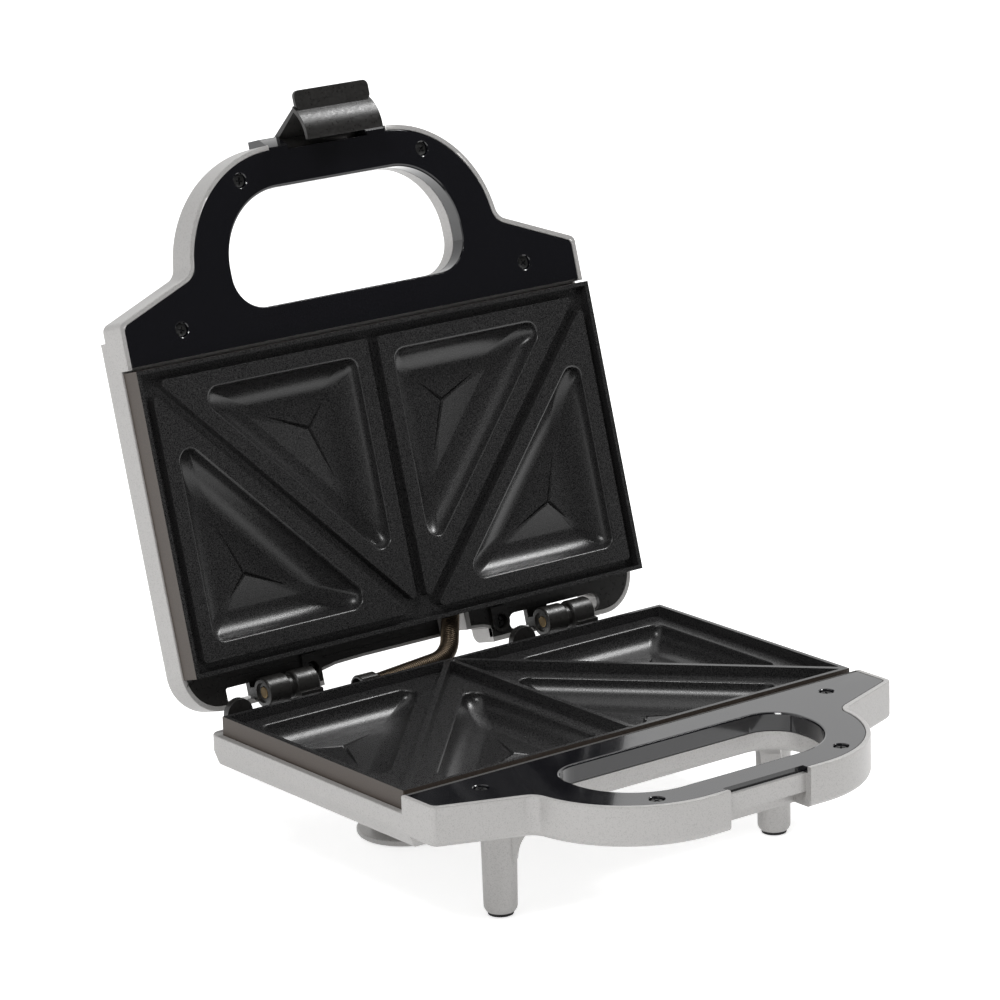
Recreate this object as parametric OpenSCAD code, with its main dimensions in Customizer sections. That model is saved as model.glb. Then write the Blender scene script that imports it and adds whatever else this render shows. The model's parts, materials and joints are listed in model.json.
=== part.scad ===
// Sandwich toaster with a triangular-pocket plate in each half, shown with the lid on its stop.
// Base parts are drawn where they stand: X to the right, Y to the rear, Z up, plate centre at X = Y = 0.
// Lid parts are drawn as they lie when the lid is shut, and lid_side() swings them open.

/* [Plates] */
// Width of the lower cooking plate
plate_w = 220; // [210:1:232]
// Depth of the lower cooking plate, front to rear
plate_d = 118; // [112:1:126]
// Height of the lower plate's rim above the table
rim_z = 58; // [54:0.5:64]
// Thickness of the thin rims and of the outer border walls
rim_t = 2; // [1.6:0.1:2.4]
// Width of the broad rim along the hinge side
rear_rim = 7.5; // [6:0.5:9]
// Width of the three raised sealing ridges at their tops
ridge_t = 2.7; // [2:0.1:3.2]
// Height of the rim and ridges above the pocket borders
rim_rise = 4; // [3.4:0.1:4.4]
// Thickness of the lower plate's flat body below the rim
plate_t = 10; // [9.5:0.1:11]
// Extra width of the lid plate beyond the lower one, each side
lid_over = 2.2; // [2:0.1:2.3]
// Gap between the two plates where they face each other when shut
plate_gap = 0.6; // [0.5:0.1:0.9]
// Height of the brown side wall of the lid plate
lid_wall_h = 9.5; // [9:0.1:10.5]

/* [Pockets] */
// Flat border between a ridge and the edge of a pocket
pocket_border = 9; // [8:0.5:10.5]
// Depth of a pocket below its border
pocket_depth = 9; // [8:0.25:9.5]
// Corner radius of a pocket's edge
pocket_r = 6; // [4:0.5:7]
// Horizontal run of a pocket's hollow side wall
pocket_run = 10; // [8:0.5:11]
// Depth that a pocket's floor rises toward its centre star
floor_rise = 1.6; // [1:0.1:2]
// Reach of the star's grooves from the centre toward the corners, as a share of the floor
star_reach = 0.72; // [0.5:0.02:0.85]
// Half width of a star groove at the centre
star_w = 0.8; // [0.6:0.1:1.1]
// Depth of a star groove at the centre
star_d = 1; // [0.6:0.1:1.3]
// Metal left under a pocket
pocket_skin = 1.8; // [1.4:0.1:2]

/* [Housings] */
// Width of the housings beyond the lower plate, each side
side_wall = 3; // [2.6:0.1:4]
// Height of the base housing's side wall top above the table
side_top_z = 50.5; // [49.5:0.25:52]
// Height of the base's underside above the table
under_z = 38; // [37.5:0.25:39]
// Wall thickness of both housings
wall = 2.4; // [2:0.1:2.6]
// Rounding along the outer edge of the lid
edge_r = 4; // [2.5:0.5:5]
// Rounding along the lower edge of the base and its handle
under_r = 2.4; // [1.5:0.1:3.5]
// Overhang of the base housing behind its plate
base_rear = 6; // [5:0.5:6.5]
// Overhang of the lid housing behind the lower plate's rear edge
lid_rear = 17.5; // [17:0.5:19]
// Corner radius at the lid's hinge side
lid_corner_r = 13; // [8:1:16]
// Corner radius at the base's rear
base_corner_r = 5; // [4.5:0.5:7]
// Height from the lid's face to its outer top
lid_h = 20; // [19.5:0.25:22]
// Thickness of each half of the carrying handle
handle_t = 16; // [15:0.5:17]

/* [Handles] */
// Sideways offset of the two arcs that round the handle
handle_dx = 28; // [24:1:32]
// Radius of the two arcs that round the handle's black cover
handle_r = 46.2; // [44:0.2:48]
// Distance from the plate's front edge to the centre of the handle arcs
handle_dy = 31.7; // [29:0.5:34]
// Distance from the plate's front edge to the tip of the shoulders
tip_dy = 20; // [18:0.5:23]
// Slope of the shoulder's front edge, rise over run
tip_slope = 0.356; // [0.3:0.01:0.42]
// Radius of the hollow corner between shoulder and handle
nook_r = 8; // [6:0.5:10]
// Width of the silver rim round the black covers
silver_rim = 2; // [1.6:0.1:2.4]
// Thickness of the black covers
cover_t = 2.5; // [2:0.1:3]
// Depth that a cover's face lies below the plate rim
cover_drop = 0.7; // [0.5:0.1:1]
// Radius of the slot's front arcs
slot_r = 29; // [27:0.5:31]
// Radius of the slot's rear arcs
slot_rear_r = 14; // [12:0.5:16]
// Sideways offset of the slot's rear arcs
slot_rear_dx = 43; // [40:0.5:45]
// Height of the cover's lip down into the slot
slot_lip = 7.5; // [6:0.5:8.5]

/* [Hinge] */
// Distance from the plate's rear edge to the hinge axis
hinge_dy = 13.8; // [13.5:0.1:14.5]
// Angle that the lid opens to
lid_open = 105.5; // [95:0.5:108]
// Diameter of the hinge knuckles
knuckle_d = 12.3; // [11.6:0.1:12.6]
// Length of each knuckle
knuckle_l = 10.5; // [9.5:0.25:11.25]
// Gap between the two knuckles of a hinge
knuckle_gap = 3; // [2.5:0.1:3.5]
// Distance from the side of the lower plate to the middle of a hinge
hinge_in = 40.5; // [39:0.5:43]
// Diameter of the hinge pins
hinge_pin_d = 5; // [4:0.2:5.6]
// Radial clearance of a pin in the piece that turns on it
run_fit = 0.05; // [0.03:0.01:0.09]

/* [Latch] */
// Width of the latch
latch_w = 37; // [34:0.5:38]
// Width of the notch in both handles for the latch
notch_w = 39; // [38.8:0.2:41]
// Thickness of the latch's shell
latch_t = 1.7; // [1.5:0.1:2]
// Outer radius of the latch's hook
hook_r = 14.8; // [14:0.2:15.2]
// Depth of the latch's finger tab
tab_l = 6.5; // [5:0.5:8]
// Diameter of the latch pin
latch_pin_d = 3; // [2.4:0.1:3.2]

/* [Feet] */
// Diameter of the front foot columns at their tops
foot_d = 14; // [13:0.5:15]
// Sideways offset of the front feet
foot_dx = 68; // [64:0.5:72]
// Thickness of the web between a front foot and the handle
web_t = 8; // [6:0.5:9]
// Radius of the web's hollow edge
web_r = 26; // [22:1:28]
// Diameter of the flange of a rear foot
rear_foot_d = 38.6; // [34:0.2:42]
// Thickness of that flange
flange_t = 3; // [2.5:0.1:4]
// Sideways offset of the rear feet
rear_foot_dx = 41; // [36:1:46]
// Distance from the plate's rear edge to the middle of a rear foot
rear_foot_in = 23; // [19:0.5:25]
// Thickness of the rubber pads
pad_t = 1.3; // [1:0.1:1.8]
// Height that a rear pad stands proud of its foot
pad_proud = 0.4; // [0.3:0.1:0.8]

/* [Heating] */
// Diameter of the tubular heating elements
heater_d = 6.5; // [6:0.1:6.6]
// Thickness of the heat shields
shield_t = 0.6; // [0.5:0.1:0.8]

/* [Wiring] */
// Outer diameter of the flexible sheath between base and lid
sheath_d = 7.6; // [7:0.2:8]
// Diameter of the sheath's spring wire
sheath_wire = 0.7; // [0.6:0.05:0.7]
// Advance of the spring for each turn
sheath_pitch = 1.5; // [1.5:0.05:1.8]
// Diameter of the bundle of wires inside the sheath
bundle_d = 4; // [3:0.2:4.6]

/* [Hidden] */
$fn = 48;

// Derived places, all in the frame described at the top
front_y = -plate_d / 2;
rear_y = plate_d / 2;
border_z = rim_z - rim_rise;
slab_z = rim_z - plate_t;
cover_z = rim_z - cover_drop;
hinge_y = rear_y + hinge_dy;
hinge_z = rim_z;
grip_y = front_y - handle_dy;
body_w = plate_w + 2 * side_wall;
tip_x = body_w / 2;
hinge_dx = plate_w / 2 - hinge_in;
tip_y = front_y - tip_dy;
trench = lid_over + plate_gap;
block_y = front_y - trench;
grip_front = grip_y - handle_r - silver_rim;
base_front_z = cover_z + 0.2 - handle_t;
floor_z = under_z + wall - 0.2;
cavity_w = plate_w - 5;
base_back_y = rear_y + base_rear;
slack = 0.3;

// Lid heights, measured above the lower rim in the shut pose
lid_border_z = border_z + plate_gap;
groove_z = rim_z + plate_gap;
lid_edge_z = groove_z - rim_rise + lid_wall_h - 0.2;
lid_rim_z = border_z + 0.4;
lid_top_z = rim_z + lid_h;
lid_cover_z = rim_z + cover_drop;
lid_grip_top = lid_cover_z - 0.2 + handle_t;
lid_back_y = rear_y + lid_rear;
lid_plate_w = plate_w + 2 * lid_over;
lid_plate_d = plate_d + 2 * (lid_over - 0.2);

// The open lid reaches this far back and the handle this far forward; the origin lies midway
reach_back = hinge_y - cos(lid_open) * (hinge_y - grip_front) + sin(lid_open) * (lid_grip_top - hinge_z);
mid_y = (reach_back + grip_front) / 2;

silver = [0.80, 0.79, 0.77];
black = [0.06, 0.06, 0.07];
charcoal = [0.20, 0.20, 0.21];
steel = [0.72, 0.72, 0.74];
brass = [0.72, 0.60, 0.36];
bronze = [0.42, 0.36, 0.28];
rubber = [0.03, 0.03, 0.03];

module base_side() {
  translate([0, -mid_y, 0]) children();
}

module lid_side() {
  translate([0, hinge_y - mid_y, hinge_z]) rotate([-lid_open, 0, 0]) translate([0, -hinge_y, -hinge_z])
    children();
}

module both_sides() {
  children();
  mirror([1, 0, 0]) children();
}

module at_each(points) {
  for (p = points) translate(p) children();
}

function mirrored(points) = concat(points, [for (p = points) [-p.x, p.y]]);
function mid(a, b, t) = a + (b - a) * t;
function unit(v) = v / norm(v);

// ---- Cooking plates ----

// Corners of the four pockets' triangles, as the ridges divide a w by d plate
function inner_triangle(w, d) = [[0, -d / 2], [0, d / 2], [-w / 2, -d / 2]];
function outer_triangle(w, d) = [[-w / 2, d / 2], [-w / 2, -d / 2], [0, d / 2]];

// The meeting point of two edges of a triangle after each edge moves inward by its own amount
function left_normal(a, b) = unit([a.y - b.y, b.x - a.x]);
function side_sign(t) = sign(cross(t[1] - t[0], t[2] - t[0]));
function inset_line(t, i, by) =
  let (a = t[i], b = t[(i + 1) % 3], n = left_normal(a, b) * side_sign(t))
  [a + n * by[i], unit(b - a)];
function meet(l, m) =
  let (k = cross(m[0] - l[0], m[1]) / cross(l[1], m[1])) l[0] + l[1] * k;
function inset(t, by) = [for (i = [0:2]) meet(inset_line(t, (i + 2) % 3, by), inset_line(t, i, by))];

// Edges of inner_triangle: centre ridge, diagonal ridge, front rim
// Edges of outer_triangle: side rim, diagonal ridge, rear rim
function inner_field(grow) =
  inset(inner_triangle(plate_w, plate_d), [ridge_t / 2 + grow, ridge_t / 2 + grow, rim_t + grow]);
function outer_field(grow) =
  inset(outer_triangle(plate_w, plate_d), [rim_t + grow, ridge_t / 2 + grow, rear_rim + grow]);

module plate_fields(grow) {
  both_sides() {
    polygon(inner_field(grow));
    polygon(outer_field(grow));
  }
}

// A triangle with round corners: corner_steps + 1 points at each corner, counter-clockwise
corner_steps = 4;
function ccw(t) = side_sign(t) > 0 ? t : [t[0], t[2], t[1]];
function corner_points(t, i, r) =
  let (p = t[i], a = unit(t[(i + 2) % 3] - p), b = unit(t[(i + 1) % 3] - p),
       half = acos(a * b) / 2, c = p + unit(a + b) * r / sin(half),
       from = atan2(-left_normal(t[(i + 2) % 3], p).y, -left_normal(t[(i + 2) % 3], p).x),
       turn = 180 - 2 * half)
  [for (k = [0:corner_steps]) c + r * [cos(from + turn * k / corner_steps), sin(from + turn * k / corner_steps)]];
function round_triangle(t, r) = [for (i = [0:2]) each corner_points(t, i, r)];

// The pocket's outline at a share s of its depth: the walls run in steeply, then level out
wall_steps = 4;
function wall_run(s) = pocket_run * (1 - cos(90 * s));
function pocket_ring(t, s) =
  let (run = wall_run(s)) round_triangle(inset(t, [run, run, run]), pocket_r * (1 - 0.45 * s));
function incentre(t) =
  let (a = norm(t[1] - t[2]), b = norm(t[2] - t[0]), c = norm(t[0] - t[1]))
  (a * t[0] + b * t[1] + c * t[2]) / (a + b + c);

// Hollow body of a pocket from its edge at z = 0 down to its floor, which rises to the star's centre
module pocket_body(t, depth, top) {
  per_ring = 3 * (corner_steps + 1);
  rings = [for (k = [0:wall_steps]) let (s = k / wall_steps)
    [for (p = pocket_ring(t, s)) [p.x, p.y, -depth * sin(90 * s)]]];
  centre = incentre(t);
  points = concat(
    [for (p = pocket_ring(t, 0)) [p.x, p.y, top]],
    [for (ring = rings) each ring],
    [[centre.x, centre.y, top], [centre.x, centre.y, floor_rise - depth]]);
  top_mid = per_ring * (wall_steps + 2);
  last = per_ring * (wall_steps + 1);
  faces = concat(
    [for (k = [0:wall_steps], i = [0:per_ring - 1])
      let (j = (i + 1) % per_ring, a = k * per_ring) each
      [[a + i, a + j, a + per_ring + i], [a + j, a + per_ring + j, a + per_ring + i]]],
    [for (i = [0:per_ring - 1]) [(i + 1) % per_ring, i, top_mid]],
    [for (i = [0:per_ring - 1]) [last + i, last + (i + 1) % per_ring, top_mid + 1]]);
  polyhedron(points, faces);
}

// Three tapering grooves that meet at the centre and run toward the corners
module star(t, depth) {
  centre = incentre(t);
  low = floor_rise - depth;
  inner = inset(t, [pocket_run, pocket_run, pocket_run]);
  for (p = inner) {
    way = (p - centre) * star_reach;
    u = unit(way);
    side = [-u.y, u.x] * star_w;
    back = -u * star_w * 0.6;
    far_z = low - floor_rise * star_reach + 0.15;
    polyhedron(
      [[centre.x + side.x + back.x, centre.y + side.y + back.y, low + 0.6],
       [centre.x - side.x + back.x, centre.y - side.y + back.y, low + 0.6],
       [centre.x + back.x, centre.y + back.y, low - star_d],
       [centre.x + way.x, centre.y + way.y, far_z]],
      [[0, 1, 2], [1, 0, 3], [2, 1, 3], [0, 2, 3]]);
  }
}

function pocket_edge(field) = ccw(inset(field, [pocket_border, pocket_border, pocket_border]));
function base_pockets() = [pocket_edge(inner_field(0)), pocket_edge(outer_field(0))];

module pockets(depth) {
  both_sides() for (t = base_pockets()) {
    pocket_body(t, depth, 1);
    star(t, depth);
  }
}

// Bosses on the plate's back that hold the metal under each pocket
module pocket_backs(h) {
  both_sides() for (t = base_pockets()) linear_extrude(h) polygon(inset(t, [1, 1, 1]));
}

// Places of the screws that hold a plate: between the pockets, beside the ends of the ridges
corner_post = [plate_w / 2 - 11, front_y + 9];
rear_post = [0, rear_y - 10];
plate_posts = [[corner_post.x, corner_post.y], [-corner_post.x, corner_post.y], rear_post];
post_d = 8;
screw_d = 3;
screw_head_d = 5.6;
pocket_back_h = pocket_depth + pocket_skin + rim_rise - plate_t;

module base_plate() {
  color(charcoal) base_side() difference() {
    union() {
      translate([-plate_w / 2, front_y, slab_z]) cube([plate_w, plate_d, plate_t]);
      translate([0, 0, slab_z - pocket_back_h]) pocket_backs(pocket_back_h + 1);
    }
    translate([0, 0, border_z]) linear_extrude(rim_rise + 1) plate_fields(0);
    translate([0, 0, border_z]) pockets(pocket_depth);
    at_each(plate_posts) translate([0, 0, slab_z - 1]) cylinder(d = screw_d, h = 6);
  }
}

// Clearances around the ridges and rims that close into the lid plate
seal_gap = 1.15;
lid_field_top = lid_border_z;
lid_slab_h = lid_edge_z - groove_z;
rim_inner_w = plate_w + 0.8;
rim_inner_d = plate_d + 0.8;
lid_back_h = pocket_depth + pocket_skin - (lid_edge_z - lid_border_z);
rear_skirt_up = 2;
lid_hollow = 2.6;
cable_x = 18;
cable_w = 15;

module lid_plate() {
  color(charcoal) lid_side() difference() {
    union() {
      translate([-lid_plate_w / 2, -lid_plate_d / 2, groove_z]) cube([lid_plate_w, lid_plate_d, lid_slab_h]);
      translate([-lid_plate_w / 2, -lid_plate_d / 2, lid_rim_z]) difference() {
        cube([lid_plate_w, lid_plate_d, groove_z - lid_rim_z + 1]);
        translate([lid_over - 0.4, lid_over - 0.6, -1])
          cube([rim_inner_w, rim_inner_d, groove_z - lid_rim_z + 3]);
        translate([-1, lid_plate_d - 4, -1]) cube([lid_plate_w + 2, 5, rear_skirt_up + 1]);
      }
      translate([0, 0, lid_border_z]) linear_extrude(groove_z - lid_border_z + 1) plate_fields(seal_gap);
      translate([0, 0, lid_edge_z - 1]) pocket_backs(lid_back_h + 1);
    }
    translate([0, 0, lid_border_z]) mirror([0, 0, 1]) pockets(pocket_depth);
    difference() {
      translate([-plate_w / 2 + 3, front_y + 3, lid_edge_z - lid_hollow]) cube([plate_w - 6, plate_d - 6, lid_hollow + 1]);
      translate([0, 0, rim_z]) pocket_backs(lid_h);
      at_each(plate_posts) translate([0, 0, rim_z]) cylinder(d = post_d, h = lid_h);
    }
    at_each(plate_posts) translate([0, 0, lid_edge_z - 4]) cylinder(d = screw_d, h = 6);
    translate([cable_x - cable_w / 2, lid_plate_d / 2 - 6, groove_z + 1.4]) cube([cable_w, 7, lid_slab_h]);
  }
}

// ---- Outlines of the handles and shoulders ----

// Centre of the hollow corner, tangent to the shoulder's edge and to the handle's arc
function nook_centre() =
  let (m = tip_slope, k = tip_y - m * tip_x - nook_r * sqrt(1 + m * m) - grip_y, r = handle_r + nook_r,
       a = 1 + m * m, b = 2 * (m * k - handle_dx), c = handle_dx * handle_dx + k * k - r * r,
       x = (-b + sqrt(b * b - 4 * a * c)) / (2 * a))
  [x, m * x + k + grip_y];
nook = nook_centre();
edge_up = unit([-tip_slope, 1]);

// The shoulder on the right, grown outward by g
shoulder_round = 2;
function shoulder_line(x, g) = tip_y + (x - tip_x) * tip_slope - g * sqrt(1 + tip_slope * tip_slope);
function shoulder(g) =
  let (side = tip_x - silver_rim + g, inner = handle_dx + handle_r * 0.6)
  [[0, block_y], [side, block_y], [side, shoulder_line(side, g) + shoulder_round],
   [side - shoulder_round, shoulder_line(side - shoulder_round, g)],
   [inner, shoulder_line(inner, g)], [0, grip_y]];

// The hollow corner's arc, from the handle's arc round to the shoulder's edge
nook_steps = 6;
grip_turn = atan2(nook.y - grip_y, nook.x - handle_dx);
nook_from = grip_turn + 180;
nook_to = atan2(edge_up.y, edge_up.x);
function arc_at(c, r, a0, a1, n) =
  [for (k = [0:n]) let (a = a0 + (a1 - a0) * k / n) c + r * [cos(a), sin(a)]];
function with_mirror(half) = concat(half, [for (k = [len(half) - 1:-1:0]) [-half[k].x, half[k].y]]);

// The whole front outline grown by g: 0 for a black cover, silver_rim for the silver housing
function outline_half(g) =
  let (tip = shoulder(g))
  concat(arc_at([handle_dx, grip_y], handle_r + g, -90, grip_turn, 16),
    arc_at(nook, nook_r - g, nook_from, nook_to, nook_steps), [tip[3], tip[2], tip[1]]);
module front_outline(g) {
  polygon(with_mirror(outline_half(g)));
}

// The part of that outline beside the handle
module shoulder_side(g) {
  tip = shoulder(g);
  inner = [handle_dx, grip_y - 2];
  polygon(concat(arc_at(nook, nook_r - g, nook_from, nook_to, nook_steps),
    [tip[3], tip[2], tip[1], [-1, block_y], [-1, inner.y], inner]));
}

function slot_half(g) = concat(
  arc_at([slot_rear_dx, grip_y + 0.7], slot_rear_r + g, 90, 0, 8),
  arc_at([slot_rear_dx + slot_rear_r - slot_r, grip_y - 2.3], slot_r + g, 0, -90, 12));
module slot_outline(g) {
  polygon(with_mirror(slot_half(g)));
}

// Solid handle half: round ends and a straight middle with the rounded edge e at z = 0
module grip_solid(h, e) {
  r = handle_r + silver_rim;
  both_sides() translate([handle_dx, grip_y, 0]) rotate_extrude() grip_profile(r, h, e);
  translate([-handle_dx, grip_y, 0]) rotate([90, 0, 90]) linear_extrude(2 * handle_dx)
    mirror([1, 0, 0]) grip_profile(r, h, e);
}

module grip_profile(r, h, e) {
  translate([0, e]) square([r, h - e]);
  square([r - e, h]);
  translate([r - e, e]) circle(r = e);
}

// Front block of a housing from z = 0 up to h, its outer lower edge rounded or bevelled by e
module front_block(h, e) {
  grip_solid(h, e);
  translate([0, 0, e]) linear_extrude(h - e) both_sides() shoulder_side(silver_rim);
  both_sides() hull() for (a = [0:30:90]) {
    z = e * (1 - sin(a));
    translate([0, 0, z]) linear_extrude(h - z) polygon(shoulder(silver_rim - e * (1 - cos(a))));
  }
}

module rounded_slab(w, y0, y1, r, inset_by) {
  x = w / 2 - inset_by;
  q = max(r - inset_by, 0.5);
  hull() {
    both_sides() translate([x - q, y1 - inset_by - q]) circle(r = q, $fn = 32);
    translate([-x, y0]) square([2 * x, 1]);
  }
}

// Tray with a rounded outer edge at z = 0: three bevels that follow a quarter circle
module tray(w, y0, y1, r, h, e) {
  hull() for (a = [0:30:90]) {
    z = e * (1 - sin(a));
    translate([0, 0, z]) linear_extrude(h - z) rounded_slab(w, y0, y1, r, e * (1 - cos(a)));
  }
}

// Places of the four cover screws: two in the shoulders, two in the front of the handle
shoulder_screw = [tip_x - 28, front_y - 14.5];
grip_screw_in = 6.1;
grip_screw_turn = -65;
grip_screw = [handle_dx, grip_y] + (handle_r - grip_screw_in) * [cos(grip_screw_turn), sin(grip_screw_turn)];
screw_spots = mirrored([shoulder_screw, grip_screw]);
boss_d = 8;

module notch_cut(z0, h, depth) {
  translate([-notch_w / 2, grip_front - 1, z0]) cube([notch_w, depth + 1, h]);
}
rail_depth = silver_rim + 0.6;

// ---- Latch, drawn shut-frame in its swung-out rest place ----
pin_y = grip_front + 0.4;
pin_z = rim_z + 11;
hook_y = pin_y - 0.9;
hook_z = rim_z + 1.8;
barrel_r = 3.2;
lip_angle = 275;
tab_angle = 214;
rail_back = 7;

// Side view of the latch without its barrel: y along the first axis, z along the second
module latch_profile() {
  hook = [hook_y, hook_z];
  pin = [pin_y, pin_z];
  knee = arc_at(hook, hook_r, tab_angle, tab_angle, 1)[0];
  polygon(concat(
    [knee + [-tab_l, -0.4], knee + [-tab_l, -1.9]],
    arc_at(hook, hook_r, tab_angle + 9, lip_angle, 10),
    arc_at(hook, hook_r - latch_t, lip_angle, tab_angle + 4, 10),
    [pin + [-barrel_r + latch_t, -1.5], pin + [-barrel_r + 0.1, 0.5], knee + [0.2, 0.6], knee + [-0.6, 0]]));
}

// A profile in the Y-Z plane drawn as a slab of width w centred on X = 0
module slab_yz(w) {
  translate([-w / 2, 0, 0]) rotate([90, 0, 90]) linear_extrude(w) children();
}

module along_x(x, y, z, d, l) {
  translate([x - l / 2, y, z]) rotate([0, 90, 0]) cylinder(d = d, h = l);
}

module latch() {
  color(black) lid_side() difference() {
    union() {
      slab_yz(latch_w) latch_profile();
      along_x(0, pin_y, pin_z, 2 * barrel_r, latch_w);
    }
    along_x(0, pin_y, pin_z, latch_pin_d + 2 * run_fit, latch_w + 2);
  }
}

ear_w = 9;
ear_x = (notch_w + ear_w) / 2;

module latch_pin() {
  color(steel) lid_side() along_x(0, pin_y, pin_z, latch_pin_d, notch_w + 2 * ear_w - 2);
}

// ---- Base ----
rail_bottom = rim_z - 10.4;

module base_shell() {
  translate([0, 0, under_z])
    tray(body_w, block_y - 4, base_back_y, base_corner_r, side_top_z - under_z, under_r);
  translate([0, 0, base_front_z]) front_block(cover_z + 0.2 - base_front_z, under_r);
}

module cover_seat(z0, h) {
  translate([0, 0, z0]) linear_extrude(h) front_outline(0);
}

// Hollow inside a handle half, open under its cover
module grip_hollow(h) {
  linear_extrude(h) difference() {
    intersection() {
      front_outline(-wall);
      translate([-tip_x, grip_y - handle_r]) square([2 * tip_x, block_y - wall - grip_y + handle_r]);
    }
    slot_outline(3 + wall);
    translate([-notch_w / 2 - 3, grip_front]) square([notch_w + 6, rail_back + 7]);
  }
}

front_pad_d = foot_d - 4;
rear_pad_d = rear_foot_d - 4.6;
rear_neck_r = rear_foot_d / 2 - 6;

module front_foot() {
  r = foot_d / 2;
  taper = 0.5;
  round_h = 2;
  translate([foot_dx, front_y - 2, 0]) {
    translate([0, 0, pad_t + round_h]) cylinder(r1 = r - taper, r2 = r, h = under_z - pad_t - round_h + 4);
    translate([0, 0, pad_t]) cylinder(r1 = r - taper - 1.4, r2 = r - taper, h = round_h);
    rotate(-135) rotate([90, 0, 0]) translate([0, 0, -web_t / 2]) linear_extrude(web_t) web_profile();
  }
}

// Web from a front foot to the handle's underside, hollowed by an arc
module web_profile() {
  top = base_front_z + 4;
  difference() {
    translate([0, top - web_r]) square([web_r + foot_d / 2, web_r]);
    translate([web_r + foot_d / 2 - 0.5, top - web_r - 1]) circle(r = web_r);
  }
}

// Broad flange round a narrower neck, with a seat for the rubber pad in its underside
module rear_foot() {
  r = rear_foot_d / 2;
  round_r = 1.6;
  translate([rear_foot_dx, rear_y - rear_foot_in, 0]) difference() {
    rotate_extrude() polygon(concat([[0, pad_proud], [r - round_r, pad_proud]],
      [for (a = [-67.5:22.5:0]) [r - round_r, pad_proud + round_r] + round_r * [cos(a), sin(a)]],
      [[r, pad_proud + flange_t], [rear_neck_r, pad_proud + flange_t], [rear_neck_r, under_z + 2], [0, under_z + 2]]));
    translate([0, 0, -1]) cylinder(d = rear_pad_d + 0.1, h = pad_t + 1);
  }
}

module base_housing() {
  color(silver) base_side() difference() {
    union() {
      base_shell();
      both_sides() {
        front_foot();
        rear_foot();
      }
    }
    // room for the plate, with a ledge under its edge
    translate([-plate_w / 2 - slack, front_y - trench, slab_z + plate_t - rim_rise - 1])
      cube([plate_w + 2 * slack, plate_d + trench + slack, plate_t]);
    translate([-plate_w / 2 - slack, front_y - slack, slab_z])
      cube([plate_w + 2 * slack, plate_d + 2 * slack, plate_t]);
    difference() {
      translate([-cavity_w / 2, front_y + 2.5, floor_z]) cube([cavity_w, plate_d - 5, plate_t + 4]);
      at_each(plate_posts) translate([0, 0, under_z]) cylinder(d = post_d, h = slab_z - under_z);
    }
    at_each(plate_posts) {
      cylinder(d = screw_d, h = rim_z);
      translate([0, 0, under_z - 1]) cylinder(d = screw_head_d, h = 3);
    }
    // rim above the side walls is cut away behind the front block
    translate([-body_w, block_y, side_top_z]) cube([2 * body_w, plate_d * 2, plate_t * 2]);
    cover_seat(cover_z - cover_t, cover_t + 1);
    difference() {
      translate([0, 0, base_front_z + wall]) grip_hollow(handle_t);
      at_each(screw_spots) cylinder(d = boss_d, h = rim_z);
    }
    at_each(screw_spots) translate([0, 0, cover_z - 10]) cylinder(d = screw_d - 0.4, h = 20);
    translate([0, 0, under_z - 1]) linear_extrude(rim_z) slot_outline(0);
    translate([0, 0, cover_z - slot_lip]) linear_extrude(rim_z) slot_outline(1.6);
    // notch for the latch: a rail behind which the hook closes
    notch_cut(under_z, rim_z, rail_depth);
    notch_cut(under_z, rail_bottom - under_z, rail_depth + rail_back);
    translate([0, base_back_y - 8, under_z + 6]) rotate([-90, 0, 0]) translate([-84, 0, 0])
      cylinder(d = 8, h = 20);
  }
}

module cover_plate(z0) {
  difference() {
    translate([0, 0, z0]) linear_extrude(cover_t) difference() {
      front_outline(-0.05);
      slot_outline(0);
      translate([-notch_w / 2, grip_front - 1]) square([notch_w, rail_depth + 2]);
      translate([-tip_x, block_y - 0.8]) square([2 * tip_x, 10]);
    }
    at_each(screw_spots) {
      translate([0, 0, z0 - 1]) cylinder(d = screw_d, h = 10);
    }
  }
}

module slot_skirt(z0, h) {
  translate([0, 0, z0]) linear_extrude(h) difference() {
    slot_outline(1.5);
    slot_outline(0);
  }
}

screw_head_h = 1.3;
screw_sink = screw_head_h + 0.1;

module base_handle_cover() {
  color(black) base_side() difference() {
    union() {
      cover_plate(cover_z - cover_t);
      slot_skirt(cover_z - slot_lip + slack, slot_lip - slack);
    }
    at_each(screw_spots) translate([0, 0, cover_z - screw_sink]) cylinder(d = screw_head_d, h = 5);
  }
}

// A pan-head screw, head down at z = 0, shank upward
module screw(shank) {
  cylinder(d = screw_head_d - 0.2, h = screw_head_h);
  cylinder(d = screw_d - 0.1, h = shank);
}

module base_plate_screws() {
  color(steel) base_side() at_each(plate_posts) translate([0, 0, under_z + 2 - screw_head_h])
    screw(slab_z + 3.5 - under_z);
}

module cover_screws(z, up) {
  at_each(screw_spots) translate([0, 0, z]) mirror([0, 0, up ? 1 : 0]) difference() {
    union() {
      cylinder(d = screw_head_d - 0.2, h = screw_head_h);
      cylinder(d = screw_d - 0.5, h = 8);
    }
    for (a = [0, 90]) rotate(a) translate([-1.4, -0.3, -1]) cube([2.8, 0.6, 1.6]);
  }
}

module base_cover_screws() {
  color(steel) base_side() cover_screws(cover_z - 0.05, true);
}

// Heating element bent under the ridges: from one front corner up the diagonal, across and down again
heater_end = mid([0, rear_y], [plate_w / 2, front_y], 0.8);
heater_bend = mid([0, rear_y], [plate_w / 2, front_y], 0.2);

module rod(a, b, d) {
  v = b - a;
  translate(a) rotate([0, acos(v.z / norm(v)), atan2(v.y, v.x)]) cylinder(d = d, h = norm(v));
}

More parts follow.
